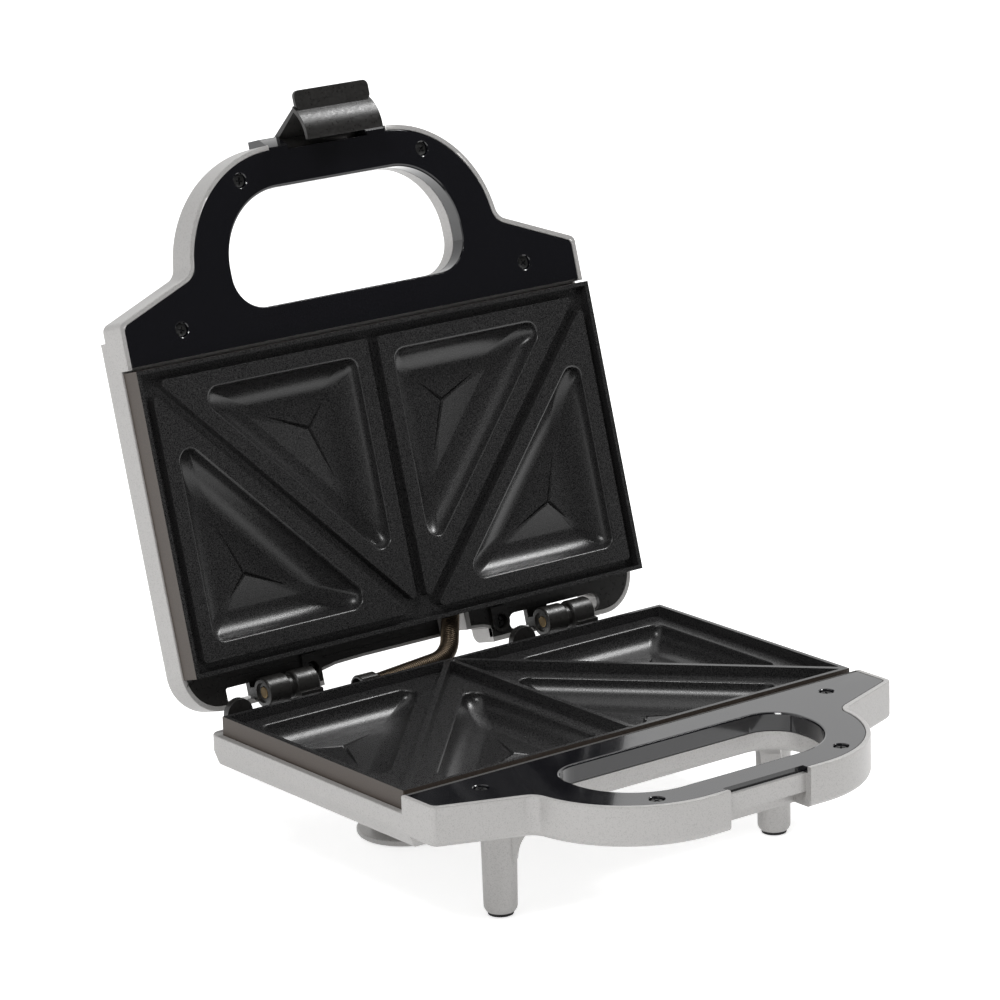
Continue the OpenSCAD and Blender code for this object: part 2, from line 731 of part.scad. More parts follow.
heater_bend_r = 12;
heater_way = unit(heater_bend - heater_end);
heater_turn = acos(heater_way * [-1, 0]);
heater_cut = heater_bend_r * tan(heater_turn / 2);
heater_pin = 6;
heater_half =
  let (from = heater_bend - heater_way * heater_cut, centre = from + heater_bend_r * [-heater_way.y, heater_way.x])
  concat([heater_end], arc_at(centre, heater_bend_r, 90 - heater_turn, 90, 5));
heater_path = with_mirror(heater_half);

module heater(z) {
  tube([for (p = heater_path) [p.x, p.y, z]], heater_d / 2, 12, [0, 0, 1]);
  pin_from = heater_end - heater_way * heater_pin;
  both_sides() rod([pin_from.x, pin_from.y, z], [heater_end.x, heater_end.y, z] + [heater_way.x, heater_way.y, 0], 2.4);
}

module base_heating_element() {
  color(steel) base_side() heater(slab_z - heater_d / 2 - 0.05);
}

module shield(z) {
  translate([0, 0, z]) linear_extrude(shield_t) difference() {
    translate([-cavity_w / 2 + 1, front_y + 4]) square([cavity_w - 2, plate_d - 8]);
    for (p = plate_posts) translate(p) circle(d = post_d + 0.6);
  }
}

module base_heat_shield() {
  color(steel) base_side() shield(floor_z + 0.05);
}

// ---- Hinges ----
knuckle_r = knuckle_d / 2;
half_hinge = (2 * knuckle_l + knuckle_gap) / 2;
hinge_spots = [-hinge_dx, hinge_dx + 0.5];
panel_t = 2.2;

arm_low = under_z + 5;

// Knuckle of the base: the right-hand one of each pair, with a collar toward its neighbour
module base_hinge_bracket(x) {
  color(black) base_side() difference() {
    union() {
      along_x(x + half_hinge - knuckle_l / 2, hinge_y, hinge_z, knuckle_d, knuckle_l);
      along_x(x + half_hinge - knuckle_l - knuckle_gap / 2 + slack / 2, hinge_y, hinge_z,
        knuckle_d - 3.4, knuckle_gap - slack);
      translate([x + half_hinge - knuckle_l, base_back_y + 0.05, arm_low])
        cube([knuckle_l, 3, hinge_z - arm_low]);
      translate([x + half_hinge - knuckle_l, base_back_y + 1, hinge_z - knuckle_r])
        cube([knuckle_l, hinge_y - base_back_y - 1, 4]);
    }
    along_x(x, hinge_y, hinge_z, hinge_pin_d + 0.02, 4 * half_hinge);
  }
}

// Knuckle of the lid: the left-hand one, carried on a flat tab that runs under the lid's panel
tab_z = lid_edge_z + panel_t;

module lid_hinge_bracket(x) {
  color(black) lid_side() difference() {
    union() {
      along_x(x - half_hinge + knuckle_l / 2, hinge_y, hinge_z, knuckle_d, knuckle_l);
      translate([x - half_hinge, lid_plate_d / 2 + 1, tab_z]) cube([knuckle_l, lid_back_y - wall - 1.5 - lid_plate_d / 2, 2.5]);
      translate([x - half_hinge, hinge_y - 2.5, hinge_z + 3]) cube([knuckle_l, lid_back_y - wall - 1.5 - hinge_y + 3.1, tab_z - hinge_z]);
    }
    along_x(x, hinge_y, hinge_z, hinge_pin_d + 2 * run_fit, 4 * half_hinge);
  }
}

module hinge_pin(x) {
  color(brass) base_side() along_x(x, hinge_y, hinge_z, hinge_pin_d, 2 * half_hinge - 1.2);
}

module base_hinge_bracket_left() base_hinge_bracket(hinge_spots[0]);
module base_hinge_bracket_right() base_hinge_bracket(hinge_spots[1]);
module lid_hinge_bracket_left() lid_hinge_bracket(hinge_spots[0]);
module lid_hinge_bracket_right() lid_hinge_bracket(hinge_spots[1]);
module hinge_pin_left() hinge_pin(hinge_spots[0]);
module hinge_pin_right() hinge_pin(hinge_spots[1]);

// Black strip on the base behind the plate, with a round hump beside each hinge
panel_strip_t = 1.6;
hump_r = 6;
hump_t = 3;
hump_x = [-hinge_dx - 21.5, hinge_dx - 17.5];

module base_hinge_panel() {
  color(black) base_side() {
    translate([-plate_w / 2 + hump_r, rear_y + slack + 0.1, side_top_z])
      cube([plate_w - 2 * hump_r, base_rear - 0.8, panel_strip_t]);
    for (x = hump_x) translate([x, base_back_y - 0.3 - hump_t, side_top_z + 0.6]) rotate([-90, 0, 0])
      difference() {
        cylinder(r = hump_r, h = hump_t);
        translate([-2 * hump_r, 0, -1]) cube([4 * hump_r, 2 * hump_r, hump_t + 2]);
      }
  }
}

// ---- Lid ----
lid_shell_h = lid_top_z - lid_edge_z;
notch_x0 = 5;
notch_x1 = 31;

module lid_shell() {
  translate([0, 0, lid_top_z]) mirror([0, 0, 1])
    tray(body_w, block_y - 12, lid_back_y, lid_corner_r, lid_shell_h, edge_r);
  translate([0, 0, lid_grip_top]) mirror([0, 0, 1]) front_block(lid_grip_top - lid_cover_z + 0.2, edge_r);
}

lamp_spots = [[-14, 20], [14, 20]];
lamp_d = 9;
lid_floor_z = lid_top_z - wall;
cable_wall_y = lid_plate_d / 2 + 1.6;
arch_left = -46;
arch_right = 56;

module lid_housing() {
  color(silver) lid_side() difference() {
    lid_shell();
    difference() {
      translate([-plate_w / 2 + slack, front_y + 1, lid_edge_z - 1])
        cube([plate_w - 2 * slack, plate_d + lid_rear - wall - 1 - 10, lid_floor_z - lid_edge_z + 1]);
      at_each(plate_posts) translate([0, 0, lid_edge_z]) cylinder(d = post_d, h = lid_h);
      translate([notch_x0 - wall, cable_wall_y, lid_edge_z]) cube([notch_x1 - notch_x0 + 2 * wall, 30, lid_h]);
    }
    translate([-plate_w / 2 + lid_corner_r, front_y + 1, lid_edge_z - 1])
      difference() {
        cube([plate_w - 2 * lid_corner_r, plate_d + lid_rear - wall - 1, lid_floor_z - lid_edge_z + 1]);
        translate([notch_x0 - wall + plate_w / 2 - lid_corner_r, cable_wall_y - front_y - 1, 1])
          cube([notch_x1 - notch_x0 + 2 * wall, 30, lid_h]);
      }
    at_each(plate_posts) {
      translate([0, 0, rim_z]) cylinder(d = screw_d, h = lid_h * 2);
      translate([0, 0, lid_top_z - 2]) cylinder(d = screw_head_d, h = 5);
    }
    // slot for the sheath and the shallow arch along the hinge side
    translate([notch_x0, cable_wall_y + wall, rim_z - 5]) cube([notch_x1 - notch_x0, 40, lid_h * 2]);
    translate([cable_x - cable_w / 2, cable_wall_y - 10, lid_edge_z - 1]) cube([cable_w, 14, 12]);
    translate([arch_left, lid_back_y - 2.2, rim_z]) cube([arch_right - arch_left, 10, lid_h * 2]);
    // room for the knuckles to turn past the rear wall
    for (x = hinge_spots) along_x(x, hinge_y, hinge_z, knuckle_d + 1, 2 * half_hinge + 1.2);
    // face in front of the plate
    translate([-body_w, block_y, rim_z - 10]) cube([2 * body_w, plate_d * 2, lid_edge_z - rim_z + 10]);
    cover_seat(lid_cover_z - 1, cover_t + 1);
    difference() {
      translate([0, 0, lid_cover_z]) grip_hollow(handle_t - wall - 0.2);
      at_each(screw_spots) translate([0, 0, rim_z]) cylinder(d = boss_d, h = lid_h);
    }
    at_each(screw_spots) translate([0, 0, rim_z - 5]) cylinder(d = screw_d - 0.4, h = 15);
    translate([0, 0, rim_z - 10]) linear_extrude(lid_h * 2) slot_outline(0);
    translate([0, 0, rim_z - 10]) linear_extrude(10 + cover_drop + slot_lip) slot_outline(1.6);
    notch_cut(rim_z - 5, lid_h + 10, rail_depth);
    along_x(0, pin_y, pin_z, 2 * barrel_r + 1, notch_w);
    both_sides() {
      translate([ear_x - ear_w / 2 - slack, grip_front - 1, rim_z - 1])
        cube([ear_w + 2 * slack, rail_depth + 4, 17]);
    }
    at_each(lamp_spots) translate([0, 0, lid_floor_z - 1]) cylinder(d = lamp_d, h = 10);
  }
}

// The lid's cover carries the two ears that hold the latch pin
module lid_handle_cover() {
  color(black) lid_side() difference() {
    union() {
      cover_plate(lid_cover_z);
      slot_skirt(lid_cover_z, slot_lip - slack);
      both_sides() hull() {
        translate([ear_x - ear_w / 2, grip_front - 3, pin_z - 4]) cube([ear_w, 5.2, 8]);
        translate([ear_x - ear_w / 2, grip_front + 1, lid_cover_z]) cube([ear_w, 4.2, 1]);
      }
    }
    at_each(screw_spots) translate([0, 0, lid_cover_z - 5 + screw_sink]) cylinder(d = screw_head_d, h = 5);
    along_x(0, pin_y, pin_z, latch_pin_d + 0.04, 100);
  }
}

module lid_plate_screws() {
  color(steel) lid_side() at_each(plate_posts) translate([0, 0, lid_top_z - 2 + screw_head_h])
    mirror([0, 0, 1]) screw(lid_top_z - lid_edge_z + 2);
}

module lid_cover_screws() {
  color(steel) lid_side() cover_screws(lid_cover_z + 0.05, false);
}

module lid_heating_element() {
  color(steel) lid_side() heater(lid_edge_z - lid_hollow + heater_d / 2 + 0.05);
}

module lid_heat_shield() {
  color(steel) lid_side() shield(lid_floor_z - 2);
}

// Black strip between the lid plate and the rear wall, cut away round the sheath and the knuckles
module lid_hinge_panel() {
  color(black) lid_side() difference() {
    union() {
      translate([-plate_w / 2 + lid_corner_r + 1, lid_plate_d / 2 + 0.2, lid_edge_z])
        cube([plate_w - 2 * lid_corner_r - 2, lid_back_y - wall - 2.4 - lid_plate_d / 2, panel_t]);
      for (x = lid_screw_x) translate([x, hinge_y - 4, lid_edge_z]) cylinder(d = 9, h = 9);
    }
    for (x = hinge_spots) translate([x - half_hinge - 0.6, hinge_y - 7, rim_z - 9])
      cube([2 * half_hinge + 1.2, 20, 20]);
    translate([notch_x0 - wall - slack, lid_plate_d / 2 - 1, rim_z]) cube([notch_x1 - notch_x0 + 2 * wall + 2 * slack, 30, 30]);
    for (x = lid_screw_x) translate([x, hinge_y - 4, lid_edge_z - 1]) {
      cylinder(d = screw_d, h = 20);
      cylinder(d = screw_head_d + 0.4, h = 2.6);
    }
  }
}
lid_screw_x = [-53, 42];

module lid_hinge_screws() {
  color(steel) lid_side() for (x = lid_screw_x) translate([x, hinge_y - 4, lid_edge_z + 1.6 - screw_head_h])
    screw(8);
}

module lamp_lens(spot, shade) {
  color(shade) lid_side() translate([spot.x, spot.y, 0]) {
    translate([0, 0, lid_top_z]) cylinder(d1 = lamp_d + 2, d2 = lamp_d, h = 1);
    translate([0, 0, lid_floor_z - 0.8]) cylinder(d = lamp_d - 0.1, h = wall + 1);
  }
}

module power_lamp_lens() lamp_lens(lamp_spots[0], [0.8, 0.08, 0.05]);
module ready_lamp_lens() lamp_lens(lamp_spots[1], [0.1, 0.6, 0.15]);

// Thermostat disc between the pockets' backs, on the slab of the lid plate
module thermostat() {
  color(steel) lid_side() translate([0, 4, lid_edge_z - lid_hollow + 0.05]) {
    cylinder(d = 13, h = 5);
    cylinder(d = 8, h = 9);
  }
}

// ---- Feet, inlet, wiring ----
module foot_pad(x, y, d) {
  color(rubber) base_side() translate([x, y, 0]) cylinder(d = d, h = pad_t);
}

module foot_pad_front_left() foot_pad(-foot_dx, front_y - 2, front_pad_d);
module foot_pad_front_right() foot_pad(foot_dx, front_y - 2, front_pad_d);
module foot_pad_rear_left() foot_pad(-rear_foot_dx, rear_y - rear_foot_in, rear_pad_d);
module foot_pad_rear_right() foot_pad(rear_foot_dx, rear_y - rear_foot_in, rear_pad_d);

// Bushing in the rear wall where the mains lead goes in
module cord_inlet() {
  color(black) base_side() translate([-84, base_back_y, under_z + 6]) rotate([-90, 0, 0]) difference() {
    union() {
      translate([0, 0, -6]) cylinder(d = 7.9, h = 6.1);
      translate([0, 0, 0.05]) cylinder(d = 11, h = 3);
    }
    translate([0, 0, -7]) cylinder(d = 5, h = 20);
  }
}

module terminal_block() {
  color([0.85, 0.83, 0.78]) base_side() translate([-62, rear_y - 9, floor_z + shield_t + 0.1])
    cube([26, 5.5, slab_z - floor_z - shield_t - 0.3]);
}

// The sheath runs straight down from the lid, round one bend and along the base's rear edge
function opened(p) =
  let (v = [p.y - hinge_y, p.z - hinge_z], c = cos(lid_open), s = sin(lid_open))
  [p.x, hinge_y + v[0] * c + v[1] * s, hinge_z - v[0] * s + v[1] * c];
sheath_top = opened([cable_x + 1, lid_plate_d / 2 - 0.6, lid_edge_z + 0.6]);
sheath_turn = [7.7, rear_y + 10, side_top_z + sheath_d / 2 + 0.4];
sheath_end = [-30, sheath_turn.y, sheath_turn.z];
sheath_bend = 15;

down = unit(sheath_turn - sheath_top);
along = unit(sheath_end - sheath_turn);
bend_angle = acos(down * along);
cut_back = sheath_bend * tan(bend_angle / 2);
run_1 = norm(sheath_turn - sheath_top) - cut_back;
run_2 = sheath_bend * bend_angle * PI / 180;
run_3 = norm(sheath_end - sheath_turn) - cut_back;
route_l = run_1 + run_2 + run_3;
bend_axis = unit(cross(down, along));
bend_in = cross(bend_axis, down);

// Place and direction at a distance s along the route
function route_dir(s) =
  let (a = bend_angle * min(max((s - run_1) / run_2, 0), 1)) down * cos(a) + bend_in * sin(a);
function route_at(s) =
  let (start = sheath_turn - down * cut_back)
  s < run_1 ? sheath_top + down * s
  : s < run_1 + run_2
    ? let (a = bend_angle * (s - run_1) / run_2)
      start + sheath_bend * (bend_in * (1 - cos(a)) + down * sin(a))
    : sheath_end - along * (route_l - s);

// A point at angle a and radius r round the route
function around(s, a, r) =
  let (t = route_dir(s), n = cross(bend_axis, t)) route_at(s) + r * (n * cos(a) + bend_axis * sin(a));

// A tube through the given centres, with a ring of sides square to the path at each
function ring_dir(c, i) = unit(c[min(i + 1, len(c) - 1)] - c[max(i - 1, 0)]);
module tube(c, r, sides, axis) {
  points = [for (i = [0:len(c) - 1])
    let (t = ring_dir(c, i), u = unit(cross(axis, t)), v = cross(t, u))
    for (k = [0:sides - 1]) c[i] + r * (u * cos(360 * k / sides) + v * sin(360 * k / sides))];
  last = (len(c) - 1) * sides;
  faces = concat(
    [[for (k = [0:sides - 1]) k]],
    [for (i = [0:len(c) - 2], k = [0:sides - 1])
      let (j = (k + 1) % sides, a = i * sides) each
      [[a + k, a + sides + k, a + j], [a + j, a + sides + k, a + sides + j]]],
    [[for (k = [sides - 1:-1:0]) last + k]]);
  polyhedron(points, faces);
}

coil_r = (sheath_d - sheath_wire) / 2;
curl_rings = 8;
coil_turns = floor(route_l / sheath_pitch - 0.5);
coil_steps = coil_turns * curl_rings;
coil_start = (route_l - coil_turns * sheath_pitch) / 2;
function coil_point(i) = around(coil_start + i * sheath_pitch / curl_rings, 360 * i / curl_rings, coil_r);
coil_path = [for (i = [0:coil_steps]) coil_point(i)];

// Least gap of the coil to itself, between points at least half a turn apart and at most two turns
coil_gap = min([for (i = [0:coil_steps - curl_rings / 2], j = [curl_rings / 2:2 * curl_rings])
  i + j <= coil_steps ? norm(coil_path[i] - coil_path[i + j]) : 100]) - sheath_wire;
echo(coil_turns = coil_turns, coil_gap = coil_gap);

module sheath_spring() {
  color(bronze) base_side() tube(coil_path, sheath_wire / 2, 6, bend_axis);
}

module wire_bundle() {
  steps = 24;
  color([0.15, 0.1, 0.08]) base_side()
    tube([for (i = [0:steps]) route_at(route_l * i / steps)], bundle_d / 2, 8, bend_axis);
}

clip_w = 8;

// Clip on the base's rear edge that holds the lower end of the sheath
module sheath_clip() {
  x = sheath_end.x;
  color(black) base_side() difference() {
    translate([x - clip_w - 0.2, rear_y + 2.8, side_top_z + panel_strip_t + 0.05])
      cube([clip_w, sheath_end.y - rear_y + 1.4, sheath_d + 0.4]);
    along_x(x - clip_w / 2, sheath_end.y, sheath_end.z, bundle_d + 0.8, 2 * clip_w);
  }
}

base_housing();
base_handle_cover();
base_plate();
base_heating_element();
base_heat_shield();
base_plate_screws();
base_cover_screws();
base_hinge_panel();
base_hinge_bracket_left();
base_hinge_bracket_right();
hinge_pin_left();
hinge_pin_right();
foot_pad_front_left();
foot_pad_front_right();
foot_pad_rear_left();
foot_pad_rear_right();
cord_inlet();
terminal_block();
sheath_clip();
lid_housing();
lid_handle_cover();
lid_plate();
lid_heating_element();
lid_heat_shield();
lid_plate_screws();
lid_cover_screws();
lid_hinge_panel();
lid_hinge_bracket_left();
lid_hinge_bracket_right();
lid_hinge_screws();
power_lamp_lens();
ready_lamp_lens();
thermostat();
latch_pin();
latch();
sheath_spring();
wire_bundle();
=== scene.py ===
# %% [markdown]
# # An open sandwich toaster
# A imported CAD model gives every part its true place. This notebook dresses it: each cell makes one real
# piece or one real finish. All lengths are written in millimetres, as on a drawing, and become metres once.

# %% Load the frame
import json
import math

import bmesh
import bpy
import numpy as np
from mathutils import Matrix, Vector


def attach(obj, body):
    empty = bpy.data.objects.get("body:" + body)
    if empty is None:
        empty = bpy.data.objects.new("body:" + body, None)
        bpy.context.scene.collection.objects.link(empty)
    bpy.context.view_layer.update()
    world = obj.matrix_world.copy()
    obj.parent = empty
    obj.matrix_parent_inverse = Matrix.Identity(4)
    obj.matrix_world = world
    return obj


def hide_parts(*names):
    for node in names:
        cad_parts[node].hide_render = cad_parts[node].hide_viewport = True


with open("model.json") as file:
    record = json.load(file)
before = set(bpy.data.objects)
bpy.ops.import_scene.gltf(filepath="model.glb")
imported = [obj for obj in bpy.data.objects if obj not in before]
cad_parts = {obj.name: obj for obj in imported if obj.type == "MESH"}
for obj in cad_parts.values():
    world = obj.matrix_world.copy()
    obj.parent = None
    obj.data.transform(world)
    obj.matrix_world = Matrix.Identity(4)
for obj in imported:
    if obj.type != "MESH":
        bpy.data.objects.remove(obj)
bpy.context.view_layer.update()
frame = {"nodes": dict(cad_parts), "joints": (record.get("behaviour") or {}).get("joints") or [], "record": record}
nodes = frame["nodes"]
MM = 0.001
print("CAD nodes:", len(nodes))

# %% [markdown]
# The toaster is drawn with the middle of its lower plate at x = y = 0, and the lid's parts are drawn as they
# lie when it is shut. The origin of the model lies a little elsewhere, so base parts are shifted, and lid
# parts are turned about the hinge first. Doing it this way means both halves can share the same outlines.

# %% Where things are
PLATE_W, PLATE_D, RIM_Z = 220.0, 118.0, 58.0
FRONT_Y, REAR_Y = -PLATE_D / 2, PLATE_D / 2
HINGE_Y, HINGE_Z = REAR_Y + 13.8, RIM_Z
HINGE_X = {"left": -69.5, "right": 70.0}
LID_OPEN = 105.5
hinge_joint = next(j for j in frame["joints"] if j["name"] == "lid_hinge")
MID_Y = HINGE_Y - hinge_joint["pos_m"][1] / MM
print("origin lies at y =", round(MID_Y, 3), "of the drawing")


def to_row(points, half):
    """Drawing millimetres to metres in the model's frame, with the lid swung open."""
    p = np.array(points, float).reshape(-1, 3)
    if half == "lid":
        a = math.radians(LID_OPEN)
        y, z = p[:, 1] - HINGE_Y, p[:, 2] - HINGE_Z
        p[:, 1] = HINGE_Y + y * math.cos(a) + z * math.sin(a)
        p[:, 2] = HINGE_Z - y * math.sin(a) + z * math.cos(a)
    p[:, 1] -= MID_Y
    return p * MM


# %% [markdown]
# Most moulded pieces are lofts: one outline drawn again and again, a little larger or smaller at each height.
# A loft keeps the real heights of every edge and crease in plain sight, which extruding by hand would not.
# Turned pieces, such as pins and feet, are lofts too, through circles.

# %% Lofts
def new_object(name, points, faces):
    mesh = bpy.data.meshes.new(name)
    mesh.from_pydata([tuple(p) for p in points], [], faces)
    mesh.update()
    piece = bpy.data.objects.new(name, mesh)
    bpy.context.scene.collection.objects.link(piece)
    outward(piece)
    return piece


def outward(piece):
    bm = bmesh.new()
    bm.from_mesh(piece.data)
    bmesh.ops.recalc_face_normals(bm, faces=bm.faces)
    bm.to_mesh(piece.data)
    bm.free()


def skin(rings):
    """The rings' points, and the faces between each ring and the next."""
    n = len(rings[0])
    points = [p for ring in rings for p in ring]
    faces = []
    for a in range(0, len(points) - n, n):
        b = a + n
        faces += [(a + i, a + (i + 1) % n, b + (i + 1) % n, b + i) for i in range(n)]
    return points, faces


def loft(name, rings):
    """A closed skin through rings of equal length, in drawing millimetres."""
    n = len(rings[0])
    points, faces = skin(rings)
    faces.append(tuple(reversed(range(n))))
    faces.append(tuple(range(len(points) - n, len(points))))
    return new_object(name, points, faces)


def level(outline, z):
    return [(x, y, z) for x, y in outline]


def stack(name, outline, profile):
    """A loft of one outline, grown by g at each height z of the profile."""
    return loft(name, [level(outline(g), z) for g, z in profile])


def prism(name, outline, z0, z1):
    return loft(name, [level(outline, z0), level(outline, z1)])


def block(name, lo, hi):
    (x0, y0, z0), (x1, y1, z1) = lo, hi
    return prism(name, [(x0, y0), (x1, y0), (x1, y1), (x0, y1)], z0, z1)


def circle(steps):
    return [2 * math.pi * k / steps for k in range(steps)]


def along_x(name, x0, x1, y, z, profile, steps=48):
    """A turned piece on an axis along X. profile: (share of the length, radius)."""
    return loft(name, [[(x0 + (x1 - x0) * s, y + r * math.cos(t), z + r * math.sin(t)) for t in circle(steps)]
                       for s, r in profile])


def upright(name, x, y, profile, steps=48):
    """A turned piece on a vertical axis. profile: (z, radius)."""
    return loft(name, [[(x + r * math.cos(t), y + r * math.sin(t), z) for t in circle(steps)]
                       for z, r in profile])


print("lofts, prisms, blocks and turned pieces are ready")

# %% [markdown]
# Holes and notches are cut afterwards with the exact boolean, which copes with faces that lie flush. It leaves
# crumbs behind, so each mesh is cleaned, and then its sharp edges get a narrow bevel, because real moulded
# edges always catch a line of light. A subdivision surface would round them too, but would swell the flats.

# %% Cutting and rounding
CRUMB = 0.004
BROAD_FACE = 300.0  # square millimetres: a face this broad is flat, and its shading stays flat too
EVEN_WEIGHT = 50  # the middle of the modifier's scale, where all faces round a corner count the same


def apply_all(piece):
    graph = bpy.context.evaluated_depsgraph_get()
    mesh = bpy.data.meshes.new_from_object(piece.evaluated_get(graph))
    old = piece.data
    piece.modifiers.clear()
    piece.data = mesh
    bpy.data.meshes.remove(old)


def combine(piece, others, how="DIFFERENCE"):
    """Cuts the others out of the piece, or joins them to it, and removes them."""
    for other in others:
        m = piece.modifiers.new("b", "BOOLEAN")
        m.operation, m.solver, m.object = how, "EXACT", other
        apply_all(piece)
    for other in others:
        bpy.data.objects.remove(other)
    return piece


def clean(piece):
    bm = bmesh.new()
    bm.from_mesh(piece.data)
    bmesh.ops.remove_doubles(bm, verts=bm.verts, dist=CRUMB)
    bmesh.ops.dissolve_degenerate(bm, edges=bm.edges, dist=CRUMB)
    bmesh.ops.dissolve_limit(bm, angle_limit=math.radians(0.3), verts=bm.verts, edges=bm.edges)
    bm.to_mesh(piece.data)
    bm.free()


def soften(piece, width, segments=2, angle=38, sharp=32):
    """Bevel what is sharper than angle, then shade smooth with real creases kept."""
    clean(piece)
    if width:
        m = piece.modifiers.new("edge", "BEVEL")
        m.width, m.segments, m.limit_method = width, segments, "ANGLE"
        m.angle_limit = math.radians(angle)
        m.use_clamp_overlap = True
        m.miter_outer = "MITER_ARC"
        apply_all(piece)
    piece.data.shade_smooth()
    piece.data.set_sharp_from_angle(angle=math.radians(sharp))
    for p in piece.data.polygons:
        p.use_smooth = p.area < BROAD_FACE
    m = piece.modifiers.new("flat", "WEIGHTED_NORMAL")
    m.keep_sharp, m.weight = True, EVEN_WEIGHT
    apply_all(piece)


print("faces over", BROAD_FACE, "square millimetres are shaded flat")

# %% [markdown]
# Every piece ends the same way: it goes into the model's frame, onto the body that it moves with, and gets its
# finish. A single function does this for all of them, so no piece is left behind when the lid swings.

# %% Placing and dressing
def finish_piece(piece, half, body, finish, replaced, second=None, where=None):
    """Places and dresses a piece; second is the finish of the faces that where picks."""
    mesh = piece.data
    picked = [p.index for p in mesh.polygons if where(p.center, p.normal)] if where else []
    co = np.zeros(len(mesh.vertices) * 3)
    mesh.vertices.foreach_get("co", co)
    mesh.vertices.foreach_set("co", to_row(co, half).ravel())
    mesh.update()
    mesh.materials.clear()
    mesh.materials.append(finish)
    if picked:
        mesh.materials.append(second)
        for i in picked:
            mesh.polygons[i].material_index = 1
    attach(piece, body)
    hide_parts(replaced)
    print(f"{piece.name}: {len(mesh.polygons)} faces on {body}")


print("lid pieces are turned", LID_OPEN, "degrees")

# %% [markdown]
# Both handles and shoulders follow one outline: two arcs round the hand slot, a hollow corner, and a sloping
# shoulder edge. `g` grows it, so the silver housing is the black cover's outline grown by two millimetres.

# %% The shared outline
BLOCK_Y = -61.8
GRIP_Y, GRIP_DX, GRIP_R = -90.7, 28.0, 46.2
GRIP_FRONT = GRIP_Y - GRIP_R - 2
TIP_X, TIP_Y, TIP_SLOPE, TIP_R = 113.0, FRONT_Y - 20.0, 0.356, 3.0
NOOK_R, SILVER_RIM = 8.0, 2.0


def arc(cx, cy, r, a0, a1, n):
    turns = [math.radians(a0 + (a1 - a0) * k / n) for k in range(n + 1)]
    return [(cx + r * math.cos(t), cy + r * math.sin(t)) for t in turns]


def mirrored(half):
    return half + [(-x, y) for x, y in reversed(half)]


def nook_centre():
    """Centre of the hollow corner, which touches both the grip's arc and the shoulder's edge."""
    m = TIP_SLOPE
    k = TIP_Y - m * TIP_X - NOOK_R * math.sqrt(1 + m * m) - GRIP_Y
    r = GRIP_R + NOOK_R
    a, b, c = 1 + m * m, 2 * (m * k - GRIP_DX), GRIP_DX ** 2 + k * k - r * r
    x = (-b + math.sqrt(b * b - 4 * a * c)) / (2 * a)
    return x, m * x + k + GRIP_Y


NOOK = nook_centre()
GRIP_TURN = math.degrees(math.atan2(NOOK[1] - GRIP_Y, NOOK[0] - GRIP_DX))
NOOK_TO = math.degrees(math.atan2(1, -TIP_SLOPE))


def front_outline(g, rear=BLOCK_Y):
    side = TIP_X - SILVER_RIM + g
    tip_y = TIP_Y + (side - TIP_X) * TIP_SLOPE - g * math.sqrt(1 + TIP_SLOPE ** 2)
    lean = math.degrees(math.atan(TIP_SLOPE))
    half = arc(GRIP_DX, GRIP_Y, GRIP_R + g, -90, GRIP_TURN, 40)
    half += arc(*NOOK, NOOK_R - g, GRIP_TURN + 180, NOOK_TO, 12)
    half += arc(side - TIP_R, tip_y + TIP_R, TIP_R, -90 + lean, 0, 6)
    return mirrored(half + [(side, rear)])


print("hollow corner centre:", [round(v, 2) for v in NOOK])

# %% [markdown]
# The hand slot has tight corners toward the plate and wide ones toward the front, as a hand wants it. Plain
# rounded rectangles and a rounded edge's profile are drawn here too, since many pieces need them.

# %% Slot, rectangle and rounded edge
SLOT_BACK = (43.0, GRIP_Y + 0.7, 14.0)  # centre and radius of the corner toward the plate
SLOT_FRONT = (28.0, GRIP_Y - 2.3, 29.0)


def slot_outline(g):
    (bx, by, br), (fx, fy, fr) = SLOT_BACK, SLOT_FRONT
    return mirrored(arc(bx, by, br + g, 90, 0, 16) + arc(fx, fy, fr + g, 0, -90, 28))


def rounded(x0, x1, y0, y1, r, n=8):
    return (arc(x1 - r, y0 + r, r, -90, 0, n) + arc(x1 - r, y1 - r, r, 0, 90, n)
            + arc(x0 + r, y1 - r, r, 90, 180, n) + arc(x0 + r, y0 + r, r, 180, 270, n))


def quarter(g0, z0, e, up, n=8):
    """Rounded edge from a flat face at z0 to a wall at growth g0."""
    turns = [math.radians(90 * k / n) for k in range(n + 1)]
    return [(g0 - e + e * math.sin(t), z0 + up * (e - e * math.cos(t))) for t in turns]


print("hand slot:", 2 * (SLOT_BACK[0] + SLOT_BACK[2]), "mm wide")

# %% [markdown]
# A finish is one shader whose colour, roughness and bump come from procedural patterns. Pictures could do it
# as well, but patterns show no seams and need no unwrapping, and their grain is set in real lengths.

# %% Node helpers
def material(name, **socket_values):
    m = bpy.data.materials.new(name)
    m.use_nodes = True
    shader = m.node_tree.nodes["Principled BSDF"]
    for key, value in socket_values.items():
        shader.inputs[key.replace("_", " ")].default_value = value
    return m, m.node_tree, shader


def wire(tree, a, b):
    tree.links.new(a, b)


def noise(tree, scale, detail=2.0, kind="ShaderNodeTexNoise"):
    coords = tree.nodes.new("ShaderNodeTexCoord")
    n = tree.nodes.new(kind)
    n.inputs["Scale"].default_value = scale
    if "Detail" in n.inputs:
        n.inputs["Detail"].default_value = detail
    wire(tree, coords.outputs["Object"], n.inputs["Vector"])
    return n


def ramp(tree, source, stops):
    r = tree.nodes.new("ShaderNodeValToRGB")
    elements = r.color_ramp.elements
    for e, (at, colour) in zip(elements, stops):
        e.position = at
        e.color = (*colour, 1) if isinstance(colour, tuple) else (colour, colour, colour, 1)
    wire(tree, source, r.inputs["Fac"])
    return r.outputs["Color"]


